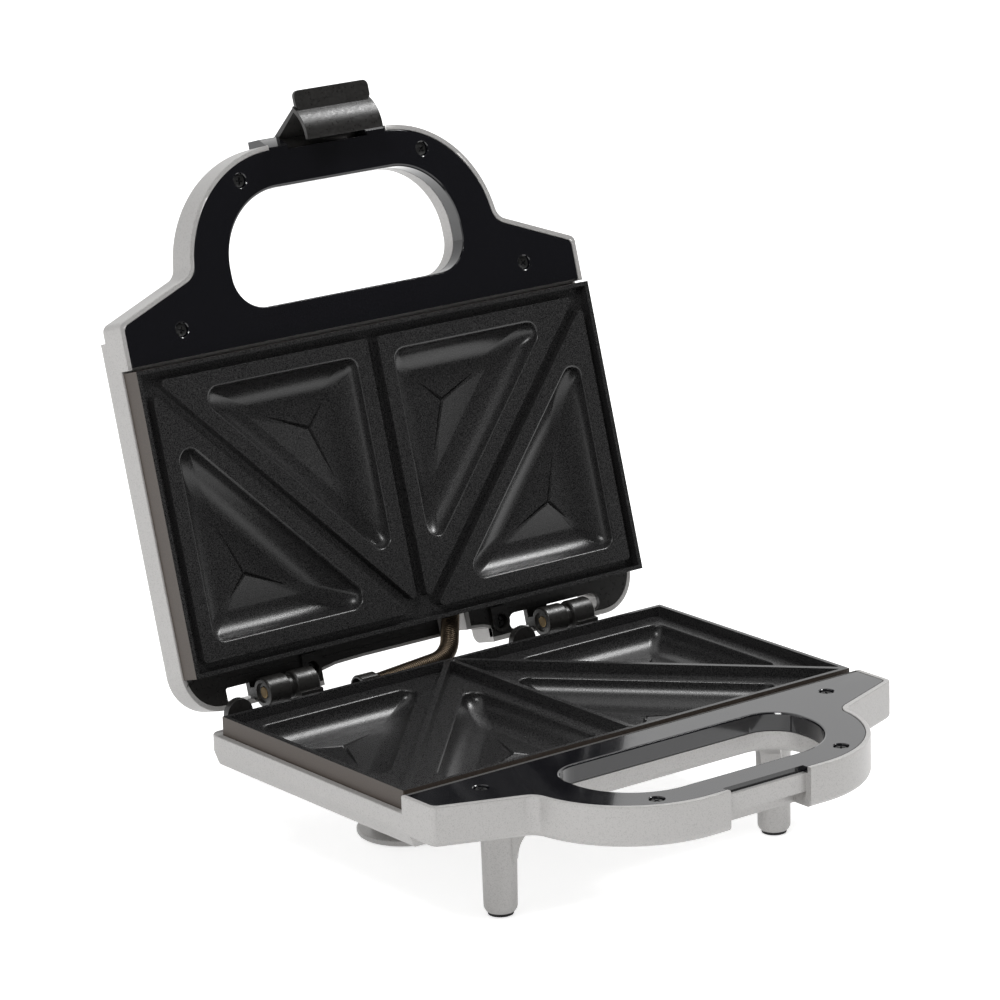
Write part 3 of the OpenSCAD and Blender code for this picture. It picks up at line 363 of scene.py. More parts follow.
def bump(tree, shader, height, distance, strength):
    b = tree.nodes.new("ShaderNodeBump")
    b.inputs["Distance"].default_value = distance
    b.inputs["Strength"].default_value = strength
    wire(tree, height, b.inputs["Height"])
    wire(tree, b.outputs["Normal"], shader.inputs["Normal"])


print("node helpers are ready")

# %% [markdown]
# The real toaster is moulded in a light grey plastic with fine metal flakes in it. The flakes are a small cell
# pattern that changes colour and roughness from cell to cell, and a slight bump gives the satin its grain.

# %% Silver plastic
def silver_plastic():
    m, tree, shader = material("silver flake plastic", Metallic=0.3, Coat_Weight=0.1, Coat_Roughness=0.25)
    flakes = noise(tree, 2600.0, kind="ShaderNodeTexVoronoi").outputs["Color"]
    shades = [(0.2, (0.34, 0.334, 0.328)), (0.8, (0.50, 0.49, 0.48))]
    wire(tree, ramp(tree, flakes, shades), shader.inputs["Base Color"])
    wire(tree, ramp(tree, flakes, [(0.2, 0.30), (0.8, 0.46)]), shader.inputs["Roughness"])
    bump(tree, shader, noise(tree, 1500.0).outputs["Fac"], 0.00004, 0.35)
    return m


SILVER = silver_plastic()
print("finish:", SILVER.name)

# %% [markdown]
# The handle covers are polished black plastic. Hands leave smears that show in the gloss alone, so they drive
# the roughness and not the colour, and a long low wave bends the reflections as a moulded sheet does.

# %% Black covers' plastic
def gloss_black():
    m, tree, shader = material("gloss black cover", Base_Color=(0.006, 0.006, 0.008, 1), Coat_Weight=0.3,
                               Coat_Roughness=0.03)
    smears = noise(tree, 60.0, 4.0).outputs["Fac"]
    wire(tree, ramp(tree, smears, [(0.35, 0.07), (0.7, 0.16)]), shader.inputs["Roughness"])
    bump(tree, shader, noise(tree, 25.0).outputs["Fac"], 0.0001, 0.15)
    return m


BLACK = gloss_black()
print("finish:", BLACK.name)

# %% [markdown]
# The plates are sprayed with a speckled non-stick coating. One noise drives its colour, roughness and bump
# together, because on the real plate the specks, the dull spots and the pimples are the same drops.

# %% Non-stick coating
def nonstick(name, dark, light, rough):
    m, tree, shader = material(name, Specular_IOR_Level=0.5)
    specks = noise(tree, 2600.0, 2.0).outputs["Fac"]
    wire(tree, ramp(tree, specks, [(0.4, dark), (0.7, light)]), shader.inputs["Base Color"])
    wire(tree, ramp(tree, specks, [(0.3, rough), (0.7, rough + 0.14)]), shader.inputs["Roughness"])
    bump(tree, shader, specks, 0.00004, 0.4)
    return m


COATING = nonstick("speckled non-stick coating", (0.007, 0.007, 0.0075), (0.045, 0.044, 0.044), 0.22)
print("finish:", COATING.name)

# %% [markdown]
# The small parts share one recipe: a colour that darkens a little from place to place, a roughness that goes
# with it, and a shallow grain. Only the numbers differ between rubber, ceramic, brass and steel.

# %% Plain finishes
def plain(name, colour, rough, metal=0.0, grain=900.0, depth=0.00003):
    m, tree, shader = material(name, Metallic=metal)
    g = noise(tree, grain, 3.0).outputs["Fac"]
    darker = tuple(0.75 * c for c in colour)
    wire(tree, ramp(tree, g, [(0.3, darker), (0.7, colour)]), shader.inputs["Base Color"])
    wire(tree, ramp(tree, g, [(0.3, rough), (0.7, min(rough + 0.15, 1.0))]), shader.inputs["Roughness"])
    bump(tree, shader, g, depth, 0.4)
    return m


HINGE = plain("hinge black", (0.02, 0.019, 0.018), 0.26)
STEEL = plain("satin steel", (0.55, 0.55, 0.56), 0.3, 1.0)
BRASS = plain("pin brass", (0.22, 0.16, 0.085), 0.38, 1.0)
BRONZE = plain("bronzed spring wire", (0.13, 0.10, 0.07), 0.28, 1.0)
DARK_STEEL = plain("blackened screw steel", (0.10, 0.10, 0.10), 0.28, 1.0)
ALUMINIUM = plain("shield aluminium", (0.8, 0.8, 0.82), 0.3, 1.0)
RUBBER = plain("foot rubber", (0.015, 0.015, 0.015), 0.7, grain=600.0, depth=0.0001)
CERAMIC = plain("terminal ceramic", (0.75, 0.72, 0.66), 0.55)
SLEEVE = plain("wire sleeve", (0.05, 0.035, 0.025), 0.6)
LAMP_RED = plain("red lens", (0.6, 0.02, 0.01), 0.12)
LAMP_GREEN = plain("green lens", (0.03, 0.4, 0.06), 0.12)
print("finishes so far:", len(bpy.data.materials))

# %% [markdown]
# The record names a finish for every solid. All solids are dressed by it first, so one that needs no richer
# mesh, such as a plate screw or a heating element, already looks as it should.

# %% Dress the solids
SLOT_FINISH = {"silver_plastic": SILVER, "black_plastic": BLACK, "hinge_black": HINGE, "nonstick": COATING,
               "steel": STEEL, "brass": BRASS, "bronze_wire": BRONZE, "aluminium": ALUMINIUM,
               "rubber": RUBBER, "ceramic": CERAMIC, "lamp_red": LAMP_RED, "lamp_green": LAMP_GREEN,
               "wire_cover": SLEEVE}
PART_SLOT = {part["node"]: part["material_slot"] for part in frame["record"]["subparts"]}
for node, slot in PART_SLOT.items():
    mesh = nodes[node].data
    mesh.materials.clear()
    mesh.materials.append(SLOT_FINISH[slot])
print("solids dressed:", len(PART_SLOT))

# %% [markdown]
# The lower housing is a shallow tray with a thick block across its front, which becomes half of the handle.
# The tray's side is upright at the top and leans in below a crease, as the light on the real one shows.

# %% Base tray
BODY_W, BASE_BACK = 226.0, REAR_Y + 6
BASE_LOW, BASE_RIM, BASE_SEAT = 41.5, 57.5, 54.8  # outer face, rim and cover's seat of the front block
BASE_SIDE = [(3.4, 38.0), (2.5, 38.1), (1.95, 38.5), (1.6, 39.2), (0.12, 43.5), (0.0, 43.9), (0.0, 50.1),
             (0.12, 50.38), (0.4, 50.5)]  # (inset, z) from the underside up to the rim


def front_block(name, low, rim, seat, up, edge):
    """Handle block from its rounded outer face at low to its rim, with a seat for the black cover."""
    full = SILVER_RIM + 0.02
    profile = quarter(full, low, edge, up)
    profile += [(full, rim - up * 0.5), (1.88, rim - up * 0.15), (1.6, rim)]
    profile += [(0.25, rim), (0.05, rim - up * 0.2), (0.05, seat)]
    return stack(name, front_outline, profile)


def slab_ring(w, y0, y1, r, inset, n=10):
    """Rectangle with its two rear corners rounded."""
    x, y, q = w / 2 - inset, y1 - inset, max(r - inset, 0.6)
    return [(x, y0)] + arc(x - q, y - q, q, 0, 90, n) + arc(-x + q, y - q, q, 90, 180, n) + [(-x, y0)]


base = stack("base_housing_shell", lambda i: slab_ring(BODY_W, BLOCK_Y - 4, BASE_BACK, 5, i), BASE_SIDE)
combine(base, [front_block("front", BASE_LOW, BASE_RIM, BASE_SEAT, 1, 2.4)], "UNION")
print("base tray:", BODY_W, "mm wide")

# %% [markdown]
# Two slim columns carry the front, each braced by a curved web, and two broad low feet carry the rear. Columns
# and feet are turned profiles. A web is a flat outline with one hollow arc, thickened and then swung round.

# %% Feet
FOOT_X, FOOT_Y, REAR_FOOT_X, REAR_FOOT_Y = 68.0, FRONT_Y - 2, 41.0, REAR_Y - 23
COLUMN = [(1.3, 5.3), (1.6, 5.7), (2.4, 6.2), (3.4, 6.5), (38, 7.0), (44, 7.0)]
FLANGE_E = 1.8
turns = [math.radians(15 * k) for k in range(1, 7)]
flange = [(0.4, 17.2)]
flange += [(0.4 + FLANGE_E - FLANGE_E * math.cos(t), 17.5 + FLANGE_E * math.sin(t)) for t in turns]
flange += [(2.9, 19.3), (3.4, 18.8), (3.5, 13.6), (4.5, 13.3), (38.2, 13.3), (40, 13.3)]
WEB_T, WEB_R, WEB_TOP, WEB_LEDGE = 8.0, 26.0, 45.5, 6.5
web_side = [(0, WEB_TOP - WEB_R)] + arc(WEB_R + WEB_LEDGE, WEB_TOP - WEB_R - 1, WEB_R, 180, 92, 16)[1:]
web_side += [(WEB_R + WEB_LEDGE, WEB_TOP), (0, WEB_TOP)]
for side in (-1, 1):
    foot = upright("foot", side * FOOT_X, FOOT_Y, COLUMN)
    web = loft("web", [[(d, t, z) for d, z in web_side] for t in (-WEB_T / 2, -WEB_T / 2 + 0.01, WEB_T / 2)])
    turn = Matrix.Rotation(math.radians(-135 if side > 0 else -45), 4, "Z")
    web.data.transform(Matrix.Translation((side * FOOT_X, FOOT_Y, 0)) @ turn)
    outward(web)
    rear = upright("rear_foot", side * REAR_FOOT_X, REAR_FOOT_Y, flange, 72)
    pad_room = upright("seat", side * REAR_FOOT_X, REAR_FOOT_Y, [(-1, 17.05), (1.3, 17.05)], 72)
    combine(rear, [pad_room])
    combine(base, [foot, web, rear], "UNION")
print("feet at x =", FOOT_X, "in front and", REAR_FOOT_X, "behind")

# %% [markdown]
# The tray is hollow under the plate, the hand slot goes right through the block, and a notch in its front lets
# the latch reach a rail. Simple tools cut all of it, in the way that a mould's core would leave it.

# %% Hollow, slot and notch of the base
PLATE_ROOM = PLATE_W / 2 + 0.3
NOTCH_X, NOTCH_Y, NOTCH_IN = 19.5, GRIP_FRONT - 5, GRIP_FRONT + 2.6
BASE_SLOT = [(2.2, 38), (2.2, 41.5), (1.0, 42.1), (0.3, 43.0), (0, 44.2), (0, 49.7), (1.6, 49.8), (1.6, 60)]
combine(base, [
    block("cavity", (-PLATE_ROOM, FRONT_Y - 2.8, 53), (PLATE_ROOM, REAR_Y + 0.3, 66)),
    block("under", (-PLATE_ROOM, FRONT_Y - 0.3, 40.2), (PLATE_ROOM, REAR_Y + 0.3, 60)),
    stack("slot", slot_outline, BASE_SLOT),
    block("notch", (-NOTCH_X, NOTCH_Y, 30), (NOTCH_X, NOTCH_IN, 60)),
    block("under_rail", (-NOTCH_X, NOTCH_Y, 30), (NOTCH_X, GRIP_FRONT + 9.6, 47.6))])
soften(base, 0.35, 3)
finish_piece(base, "base", "base", SILVER, "base_housing")

# %% [markdown]
# A glossy black cover lies in each handle, flush with its rim. It has a lip down into the hand slot, which
# hides the joint between the two mouldings, and four seats for small cross-head screws.

# %% Handle covers
COVER_Z, LID_COVER_Z, LID_SEAT, COVER_LIP = 57.3, 58.7, 61.2, 7.2
SCREW_SPOTS = [(s * 85, FRONT_Y - 14.5) for s in (-1, 1)] + [(s * 45, FRONT_Y - 68) for s in (-1, 1)]
SCREW_SEAT = [(1, 3.3), (-0.05, 3.3), (-0.3, 2.95), (-1.4, 2.9)]  # (height over the face, radius)


def facing(z, up, profile):
    """A turned profile over a face at z that looks up (1) or down (-1), lowest point first."""
    return sorted([(z + up * h, r) for h, r in profile], key=lambda p: p[0])


def handle_cover(name, back, face, notch_in):
    """Cover from its back to its shown face; the latch's notch goes notch_in deep."""
    up = 1 if face > back else -1
    cover = stack(name, lambda g: front_outline(g, BLOCK_Y - 0.9),
                  [(-0.1, back), (-0.1, face - up * 0.35), (-0.2, face - up * 0.1), (-0.45, face)])
    combine(cover, [prism("lip", slot_outline(1.4), face - up * 0.8, face - up * COVER_LIP)], "UNION")
    hole = stack("hole", slot_outline, [(1.0, face + up * 2), (1.0, face + up * 0.01), (0.35, face - up * 0.18),
                                        (0.0, face - up * 0.7), (0.0, face - up * (COVER_LIP + 3))])
    notch = block("notch", (-NOTCH_X, NOTCH_Y, 40), (NOTCH_X, GRIP_FRONT + notch_in, 80))
    return combine(cover, [hole, notch] + [upright("sink", x, y, facing(face, up, SCREW_SEAT), 40)
                                           for x, y in SCREW_SPOTS])


base_cover = handle_cover("base_cover", BASE_SEAT, COVER_Z, 4.6)
soften(base_cover, 0.12, 2)
finish_piece(base_cover, "base", "base", BLACK, "base_handle_cover")

# %% [markdown]
# The lid's cover is the same moulding with a face that looks down, plus two ears that hold the latch's pin.
# Each ear is one flat outline given a width, and joined to the cover so the two read as a single moulding.

# %% Lid's cover and ears
EAR_X, EAR_HALF = 24, 4.5
EAR = [(-3, 65), (-3, 73), (2.2, 73), (5.2, 59.7), (5.2, 58.7), (1.0, 58.7)]  # (y from the grip's front, z)
lid_cover = handle_cover("lid_cover", LID_SEAT, LID_COVER_Z, 2.7)
for x in (-EAR_X, EAR_X):
    ear = loft("ear", [[(x + w, GRIP_FRONT + y, z) for y, z in EAR] for w in (-EAR_HALF, EAR_HALF)])
    combine(lid_cover, [ear], "UNION")
soften(lid_cover, 0.12, 2)
finish_piece(lid_cover, "lid", "lid", BLACK, "lid_handle_cover")

# %% [markdown]
# The lid's shell is the base's idea upside down: a tray with a generous rounded edge, since this is the face
# that is seen when the toaster is shut, with a thinner block in front for the upper half of the handle.

# %% Lid's shell
LID_TOP, LID_GRIP_TOP, LID_EDGE, LID_RIM = 78.0, 74.5, 63.9, 58.5
LID_BACK, LID_CORNER, LID_ROUND = REAR_Y + 17.5, 17.0, 4.0
turns = [math.radians(9 * k) for k in range(1, 11)]
lid_side = [(LID_ROUND, LID_TOP)]
lid_side += [(LID_ROUND - LID_ROUND * math.sin(t), LID_TOP - LID_ROUND + LID_ROUND * math.cos(t)) for t in turns]
lid_side += [(0.0, LID_EDGE + 0.4), (0.12, LID_EDGE + 0.12), (0.4, LID_EDGE)]
lid = stack("lid_housing_shell", lambda i: slab_ring(BODY_W, BLOCK_Y - 12, LID_BACK, LID_CORNER, i, 16), lid_side)
combine(lid, [front_block("front", LID_GRIP_TOP, LID_RIM, LID_SEAT, -1, LID_ROUND)], "UNION")

PIN_Y, PIN_Z, BARREL_ROOM = GRIP_FRONT + 0.4, 69.0, 3.7
LID_SLOT = [(1.6, 50), (1.6, 66.2), (0, 66.3), (0, 71.8), (0.3, 73.0), (1.0, 73.9), (2.2, 74.5), (2.2, 80)]
lid_cuts = [
    prism("hollow", rounded(-109.7, 109.7, FRONT_Y + 1, REAR_Y + 2.6, 6), 55, 75.6),
    stack("slot", slot_outline, LID_SLOT),
    block("face", (-120, BLOCK_Y, 45), (120, 90, LID_EDGE)),
    block("notch", (-NOTCH_X, NOTCH_Y, 50), (NOTCH_X, NOTCH_IN, 90)),
    along_x("room", -NOTCH_X, NOTCH_X, PIN_Y, PIN_Z, [(0, BARREL_ROOM), (1, BARREL_ROOM)])]
EAR_ROOM = 4.8
lid_cuts += [block("ear_room", (x - EAR_ROOM, GRIP_FRONT - 1, 50), (x + EAR_ROOM, GRIP_FRONT + 5.6, 74))
             for x in (-EAR_X, EAR_X)]
print("cuts for the lid so far:", len(lid_cuts))

# %% [markdown]
# Behind the plate the lid is open in four places: a window beside each knuckle, a slot for the sheath and a
# shallow arch. The same outlines cut the shell and, a hair smaller or larger, the black panel that lies in it,
# so the two fit each other without any measuring.

# %% Openings behind the plate
PANEL_TOP = 66.1
ARCH = ((-48, 70.6), (-41, 69.4), (-27, 69), (29, 69), (34, 69.6), (37.2, 70.8))
ARCH_BACK = [(37.2, 90), (-48, 90)]
KNUCKLE_ROOM = (12.6, 6.65)  # half length and radius


def arch_outline(g):
    """The arch's edge, moved by g toward the plate, and closed behind the lid."""
    return [(x, y - g) for x, y in ARCH] + ARCH_BACK


def windows(z0, z1):
    """See-through windows beside the knuckles, and the sheath's slot."""
    return [prism("window", rounded(-94, -57.8, 68.1, 74.4, 0.8, 3), z0, z1),
            prism("window", rounded(46.8, 94, 66.8, 74.2, 3.4, 8), z0, z1),
            prism("slot", rounded(14, 25, 58, 90, 3.0, 6), z0, z1)]


def panel_outline(g):
    """Black panel: the housing's own outline two millimetres inside, from the plate's edge to the rear."""
    q, x, y = LID_CORNER - SILVER_RIM + g, BODY_W / 2 - LID_CORNER, LID_BACK - LID_CORNER
    return mirrored(arc(x, y, q, math.degrees(math.asin((REAR_Y + 2.1 - g - y) / q)), 90, 14))


def panel_cuts(g, z0, z1):
    """What the panel leaves free: the arch, and the sheath's slot with its silver walls."""
    return [prism("arch", arch_outline(1.2 - g), z0, z1),
            prism("walls", rounded(11.6 + g, 27.4 - g, 58, 90, 4.0, 6), z0, z1)]


half_l, r = KNUCKLE_ROOM
lid_cuts += windows(40, 90) + [prism("arch", arch_outline(0), 40, 90)]
lid_cuts += [along_x("turn_room", x - half_l, x + half_l, HINGE_Y, HINGE_Z, [(0, r), (1, r)])
             for x in HINGE_X.values()]
combine(lid, lid_cuts)
seat = prism("seat", panel_outline(0.05), 55, PANEL_TOP)
combine(seat, panel_cuts(0.05, 50, 70))
combine(lid, [seat])
soften(lid, 0.3, 3)
finish_piece(lid, "lid", "lid", SILVER, "lid_housing")

# %% [markdown]
# A black panel closes the lid behind the plate. Two lugs hang from it for its screws, windows let the hinge
# knuckles through, and a shallow arch makes room for the sheath. Thin ribs along its edge stiffen it.

# %% Lid's hinge panel
PANEL_SCREW_X, PANEL_SCREW_Y, LUG_R = (-53.0, 42.0), 68.8, 4.3
panel = prism("lid_panel", panel_outline(-0.05), LID_EDGE + 0.1, PANEL_TOP)
combine(panel, windows(50, 80) + panel_cuts(-0.05, 50, 80))
for x in PANEL_SCREW_X:
    lug = arc(x, PANEL_SCREW_Y, LUG_R, 0, 180, 16) + [(x - LUG_R, 62.5), (x + LUG_R, 62.5)]
    combine(panel, [prism("lug", lug, LID_EDGE - 1.3, PANEL_TOP)], "UNION")
combine(panel, [upright("sink", x, PANEL_SCREW_Y, [(50, 3.1), (LID_EDGE + 2.7, 3.1)]) for x in PANEL_SCREW_X])
combine(panel, [block("rib", (-92, 64.4, LID_EDGE - 0.35), (-58.5, 65.2, LID_EDGE + 1)),
                block("rib", (-46, 65.0, LID_EDGE - 0.35), (10, 65.8, LID_EDGE + 1))], "UNION")
soften(panel, 0.3, 2)
finish_piece(panel, "lid", "lid", HINGE, "lid_hinge_panel")

# %% [markdown]
# Two dark screws hold the panel. A head is a turned profile with a cross cut by two bars. Both are joined into
# one piece, since the solid that they stand for is one as well.

# %% Panel's screws
PANEL_HEAD = [(64.3, 1.7), (64.4, 2.3), (64.8, 2.75), (65.6, 2.75), (65.7, 1.4), (71.5, 1.4)]
BAR_L, BAR_T, BAR_TOP = 1.6, 0.35, 65.1
panel_heads = []
for x in PANEL_SCREW_X:
    head = upright("lid_panel_screw_heads", x, PANEL_SCREW_Y, PANEL_HEAD, 40)
    y = PANEL_SCREW_Y
    combine(head, [block("bar", (x - BAR_L, y - BAR_T, 60), (x + BAR_L, y + BAR_T, BAR_TOP)),
                   block("bar", (x - BAR_T, y - BAR_L, 60), (x + BAR_T, y + BAR_L, BAR_TOP))])
    panel_heads.append(head)
panel_screws = combine(panel_heads[0], panel_heads[1:], "UNION")
soften(panel_screws, 0.06, 2)
finish_piece(panel_screws, "lid", "lid", DARK_STEEL, "lid_hinge_screws")

# %% [markdown]
# The cooking plates are pressed metal with four triangular pockets in each. Ridges between them seal two slices
# of bread together. All eight pockets come from the same two triangles, moved inward edge by edge, so rims,
# ridges and pocket walls stay parallel whatever the widths are.

# %% Triangles of the cooking plates
RIM_T, RIDGE_T = 2.0, 2.7


def area2(t):
    return (t[1][0] - t[0][0]) * (t[2][1] - t[0][1]) - (t[1][1] - t[0][1]) * (t[2][0] - t[0][0])


def inset(t, by):
    """Each edge of the triangle moves inward by its own amount; edge i runs from corner i to i + 1."""
    turn = math.copysign(1, area2(t))
    lines = []
    for i in range(3):
        a, b = np.array(t[i], float), np.array(t[(i + 1) % 3], float)
        d = (b - a) / np.linalg.norm(b - a)
        lines.append((a + turn * by[i] * np.array([-d[1], d[0]]), d))
    out = []
    for i in range(3):
        (p, d), (q, e) = lines[(i + 2) % 3], lines[i]
        k = ((q[0] - p[0]) * e[1] - (q[1] - p[1]) * e[0]) / (d[0] * e[1] - d[1] * e[0])
        out.append(p + d * k)
    return out


def round_corners(t, r, n=10):
    t = t if area2(t) > 0 else [t[0], t[2], t[1]]
    out = []
    for i in range(3):
        p, a, b = t[i], t[(i + 2) % 3] - t[i], t[(i + 1) % 3] - t[i]
        start = math.degrees(math.atan2(a[0], -a[1]))
        a, b = a / np.linalg.norm(a), b / np.linalg.norm(b)
        half = math.acos(float(np.clip(a @ b, -1, 1))) / 2
        centre = p + (a + b) / np.linalg.norm(a + b) * r / math.sin(half)
        out += arc(centre[0], centre[1], r, start, start + 180 - 2 * math.degrees(half), n)
    return out


def fields(grow, flip):
    """The two triangles on one side of the plate: left as drawn, or mirrored."""
    left, ridge, rim = -PLATE_W / 2, RIDGE_T / 2 + grow, RIM_T + grow
    inner = inset([(0, FRONT_Y), (0, REAR_Y), (left, FRONT_Y)], (ridge, ridge, rim))
    outer = inset([(left, REAR_Y), (left, FRONT_Y), (0, REAR_Y)], (rim, ridge, rim))
    return [[p * np.array([flip, 1]) for p in t] for t in (inner, outer)]


def incentre(t):
    a, b, c = (np.linalg.norm(t[1] - t[2]), np.linalg.norm(t[2] - t[0]), np.linalg.norm(t[0] - t[1]))
    return (a * t[0] + b * t[1] + c * t[2]) / (a + b + c)


print("pocket centres:", [[round(float(v), 1) for v in incentre(t)] for t in fields(0, 1)])

# %% [markdown]
# Every pocket has a rounded lip, a hollow wall that runs into three slightly sloping floor facets, and a
# three-armed crease where they meet. A sculpted floor would never come out as crisp, so each pocket is one
# loft that ends in a point, cut out of a slab, and the crease is three tapering grooves.

# %% Pockets and creases
POCKET_BORDER, POCKET_DEPTH, POCKET_R, POCKET_RUN, FLOOR_RISE = 8.0, 9.0, 4.8, 11.0, 1.8
LIP_R, WALL_TOP, TIGHTEN = 0.9, 0.6, 0.45
ARM_REACH, ARM_PROUD = 0.72, 0.35
ARM = [(-0.02, 0.6, 0.8), (0.0, 1.15, 1.5), (0.25, 1.0, 1.3), (0.5, 0.85, 1.05), (0.8, 0.5, 0.6),
       (1.0, 0.06, 0.05)]  # (share of the arm, half width, depth)


def pocket_cutter(field, z, up):
    """Hollow of one pocket below (up 1) or above (up -1) its border at height z."""
    edge = inset(field, [POCKET_BORDER] * 3)

    def ring(by, r, height):
        return level(round_corners(inset(edge, [by] * 3), r), height)

    rings = [ring(-LIP_R, POCKET_R + LIP_R, z + up * 2), ring(-LIP_R, POCKET_R + LIP_R, z)]
    for k in range(1, 4):
        t = math.radians(28 * k)
        e = LIP_R * (1 - math.sin(t))
        rings.append(ring(-e, POCKET_R + e, z - up * LIP_R * (1 - math.cos(t))))
    for k in range(1, 13):
        s = k / 12
        run = POCKET_RUN * (1 - math.cos(math.radians(90 * s)))
        low = WALL_TOP + (POCKET_DEPTH - WALL_TOP) * math.sin(math.radians(90 * s))
        rings.append(ring(run, POCKET_R * (1 - TIGHTEN * s), z - up * low))
    points, sides = skin(rings)
    n = len(rings[0])
    last = len(points) - n
    c = incentre(edge)
    points.append((c[0], c[1], z - up * (POCKET_DEPTH - FLOOR_RISE)))
    floor = [(last + i, last + (i + 1) % n, len(points) - 1) for i in range(n)]
    return new_object("pocket", points, [tuple(range(n))] + sides + floor)


def crease_cutters(field, z, up):
    """Three tapering grooves from the centre of the floor toward its corners."""
    edge = inset(field, [POCKET_BORDER] * 3)
    c = incentre(edge)
    low = z - up * (POCKET_DEPTH - FLOOR_RISE)
    grooves = []
    for corner in inset(edge, [POCKET_RUN] * 3):
        way = (corner - c) * ARM_REACH
        u = way / np.linalg.norm(way)
        side = np.array([-u[1], u[0]])
        rings = []
        for s, w, d in ARM:
            p = c + way * s
            top = low - up * (FLOOR_RISE * max(s, 0) * ARM_REACH) + up * ARM_PROUD
            rings.append([(*(p + side * w), top), (*(p - side * w), top), (*p, top - up * (d + ARM_PROUD))])
        grooves.append(loft("groove", rings))
    return grooves


def pocket_back(t, z0, z1):
    """Metal behind one pocket, so that the slab isn't pierced."""
    return prism("back", round_corners(inset(t, [POCKET_BORDER + 1] * 3), 5, 4), z0, z1)


print("pockets are", POCKET_DEPTH, "mm deep, and", POCKET_DEPTH - FLOOR_RISE, "mm at the crease")

# %% [markdown]
# The lower plate stands on the housing's ledge. Its four fields are sunk between upright ridges. Its tall
# side wall gets its own browner finish, which is a painted warm reflection on the upright outer faces.

# %% Lower cooking plate
BORDER_Z = 54.0
NUB = [(52, 1.9), (RIM_Z - 0.3, 1.7), (RIM_Z + 0.25, 1.1)]
# A browner coating that paints a warm reflection onto the plates' upright outer walls.
WALL_PAINTED_REFLECTION = nonstick("plate edge painted reflection", (0.05, 0.038, 0.03), (0.09, 0.07, 0.056), 0.42)


def reflection_walls(x_lim, y_lim):
    """Picks the upright outer faces beyond x_lim, and those in front of y_lim, for the painted brown reflection.
    """
    return lambda c, n: math.hypot(n.x, n.y) > 0.7 and (abs(c.x) > x_lim or c.y < -y_lim)


plate = block("base_cooking_plate", (-PLATE_W / 2, FRONT_Y, 48), (PLATE_W / 2, REAR_Y, RIM_Z))
backs, cutters = [], []
for t in fields(0, -1) + fields(0, 1):
    sunk, wide = round_corners(t, 0.5, 3), round_corners(inset(t, [-0.25] * 3), 0.5, 3)
    cutters.append(loft("field", [level(sunk, BORDER_Z), level(sunk, BORDER_Z + 1), level(wide, RIM_Z + 1)]))
    cutters.append(pocket_cutter(t, BORDER_Z, 1))
    cutters += crease_cutters(t, BORDER_Z, 1)
    backs.append(pocket_back(t, 43.2, 49))
combine(plate, backs, "UNION")
combine(plate, cutters)
combine(plate, [upright("nub", 0, y, NUB, 24) for y in (REAR_Y - 2.4, FRONT_Y + 2.2)], "UNION")
soften(plate, 0.55, 3, angle=50, sharp=30)
# The upright outer walls get the painted brown reflection.
finish_piece(plate, "base", "base", COATING, "base_plate", WALL_PAINTED_REFLECTION, reflection_walls(109.6, 58.7))

# %% [markdown]
# The upper plate is the lower one's counterpart: its fields are raised pads that reach down between the ridges
# of the lower plate, with the same pockets in them, and a skirt runs round it. Where the lower plate has a
# ridge, this one keeps a groove, so the two close on each other without touching.

# %% Upper cooking plate
LID_BORDER, SKIRT_X, SKIRT_Y = 54.6, 112.2, 61
PAD_GAP = 1.15
lid_plate = block("lid_cooking_plate", (-SKIRT_X, -SKIRT_Y, 58.6), (SKIRT_X, SKIRT_Y, LID_EDGE))
skirt = block("skirt", (-SKIRT_X, -SKIRT_Y, 54.4), (SKIRT_X, SKIRT_Y, 60))
combine(skirt, [block("room", (-110.4, -59.4, 50), (110.4, 59.4, 62))])
combine(lid_plate, [skirt], "UNION")
pads, backs, cutters = [], [], []
for flip in (-1, 1):
    for t in fields(PAD_GAP, flip):
        root, tip = round_corners(inset(t, [-0.15] * 3), 1.5, 4), round_corners(t, 1.5, 4)
        pads.append(loft("pad", [level(root, 60), level(tip, LID_BORDER)]))
    for t in fields(0, flip):
        backs.append(pocket_back(t, 62, 65.6))
        cutters.append(pocket_cutter(t, LID_BORDER, -1))
        cutters += crease_cutters(t, LID_BORDER, -1)
combine(lid_plate, pads + backs, "UNION")
combine(lid_plate, cutters)
soften(lid_plate, 0.55, 3, angle=50, sharp=30)
# The upright outer walls get the painted brown reflection.
finish_piece(lid_plate, "lid", "lid", COATING, "lid_plate", WALL_PAINTED_REFLECTION, reflection_walls(111.9, 60.7))

# %% [markdown]
# The latch is a thin bent shell that swings on a pin between two ears. Its hook closes round a rail under the
# lower handle, and the flat tab is what a finger pulls. The bent shell is one side view, drawn with two arcs
# and given a width, since the real one has the same section from end to end.

# %% Latch
HOOK_R, LATCH_T, LATCH_W, TAB_X = 14.8, 1.7, 37.0, 18.2
BARREL_X, BARREL_R, BORE_R = 18.5, 3.2, 1.55
HOOK = (PIN_Y - 0.9, 59.8)
KNEE_TURN = math.radians(214)
knee = (HOOK[0] + HOOK_R * math.cos(KNEE_TURN), HOOK[1] + HOOK_R * math.sin(KNEE_TURN))
shell = arc(*HOOK, HOOK_R, 219, 275, 24) + arc(*HOOK, HOOK_R - LATCH_T, 275, 218, 24)
shell += [(PIN_Y - 3.2 + LATCH_T, PIN_Z - 1.5), (PIN_Y - 3.1, PIN_Z + 0.5), (knee[0] + 0.2, knee[1] + 0.6),
          (knee[0] - 0.6, knee[1])]
latch = loft("latch_shell", [[(x, y, z) for y, z in shell] for x in (-LATCH_W / 2, LATCH_W / 2)])
barrel = along_x("barrel", -BARREL_X, BARREL_X, PIN_Y, PIN_Z, [(0, BARREL_R), (1, BARREL_R)])
tab = prism("tab", rounded(-TAB_X, TAB_X, knee[0] - 6.5, knee[0] + 1.5, 2.4), knee[1] - 2.0, knee[1] - 0.5)
combine(latch, [barrel, tab], "UNION")
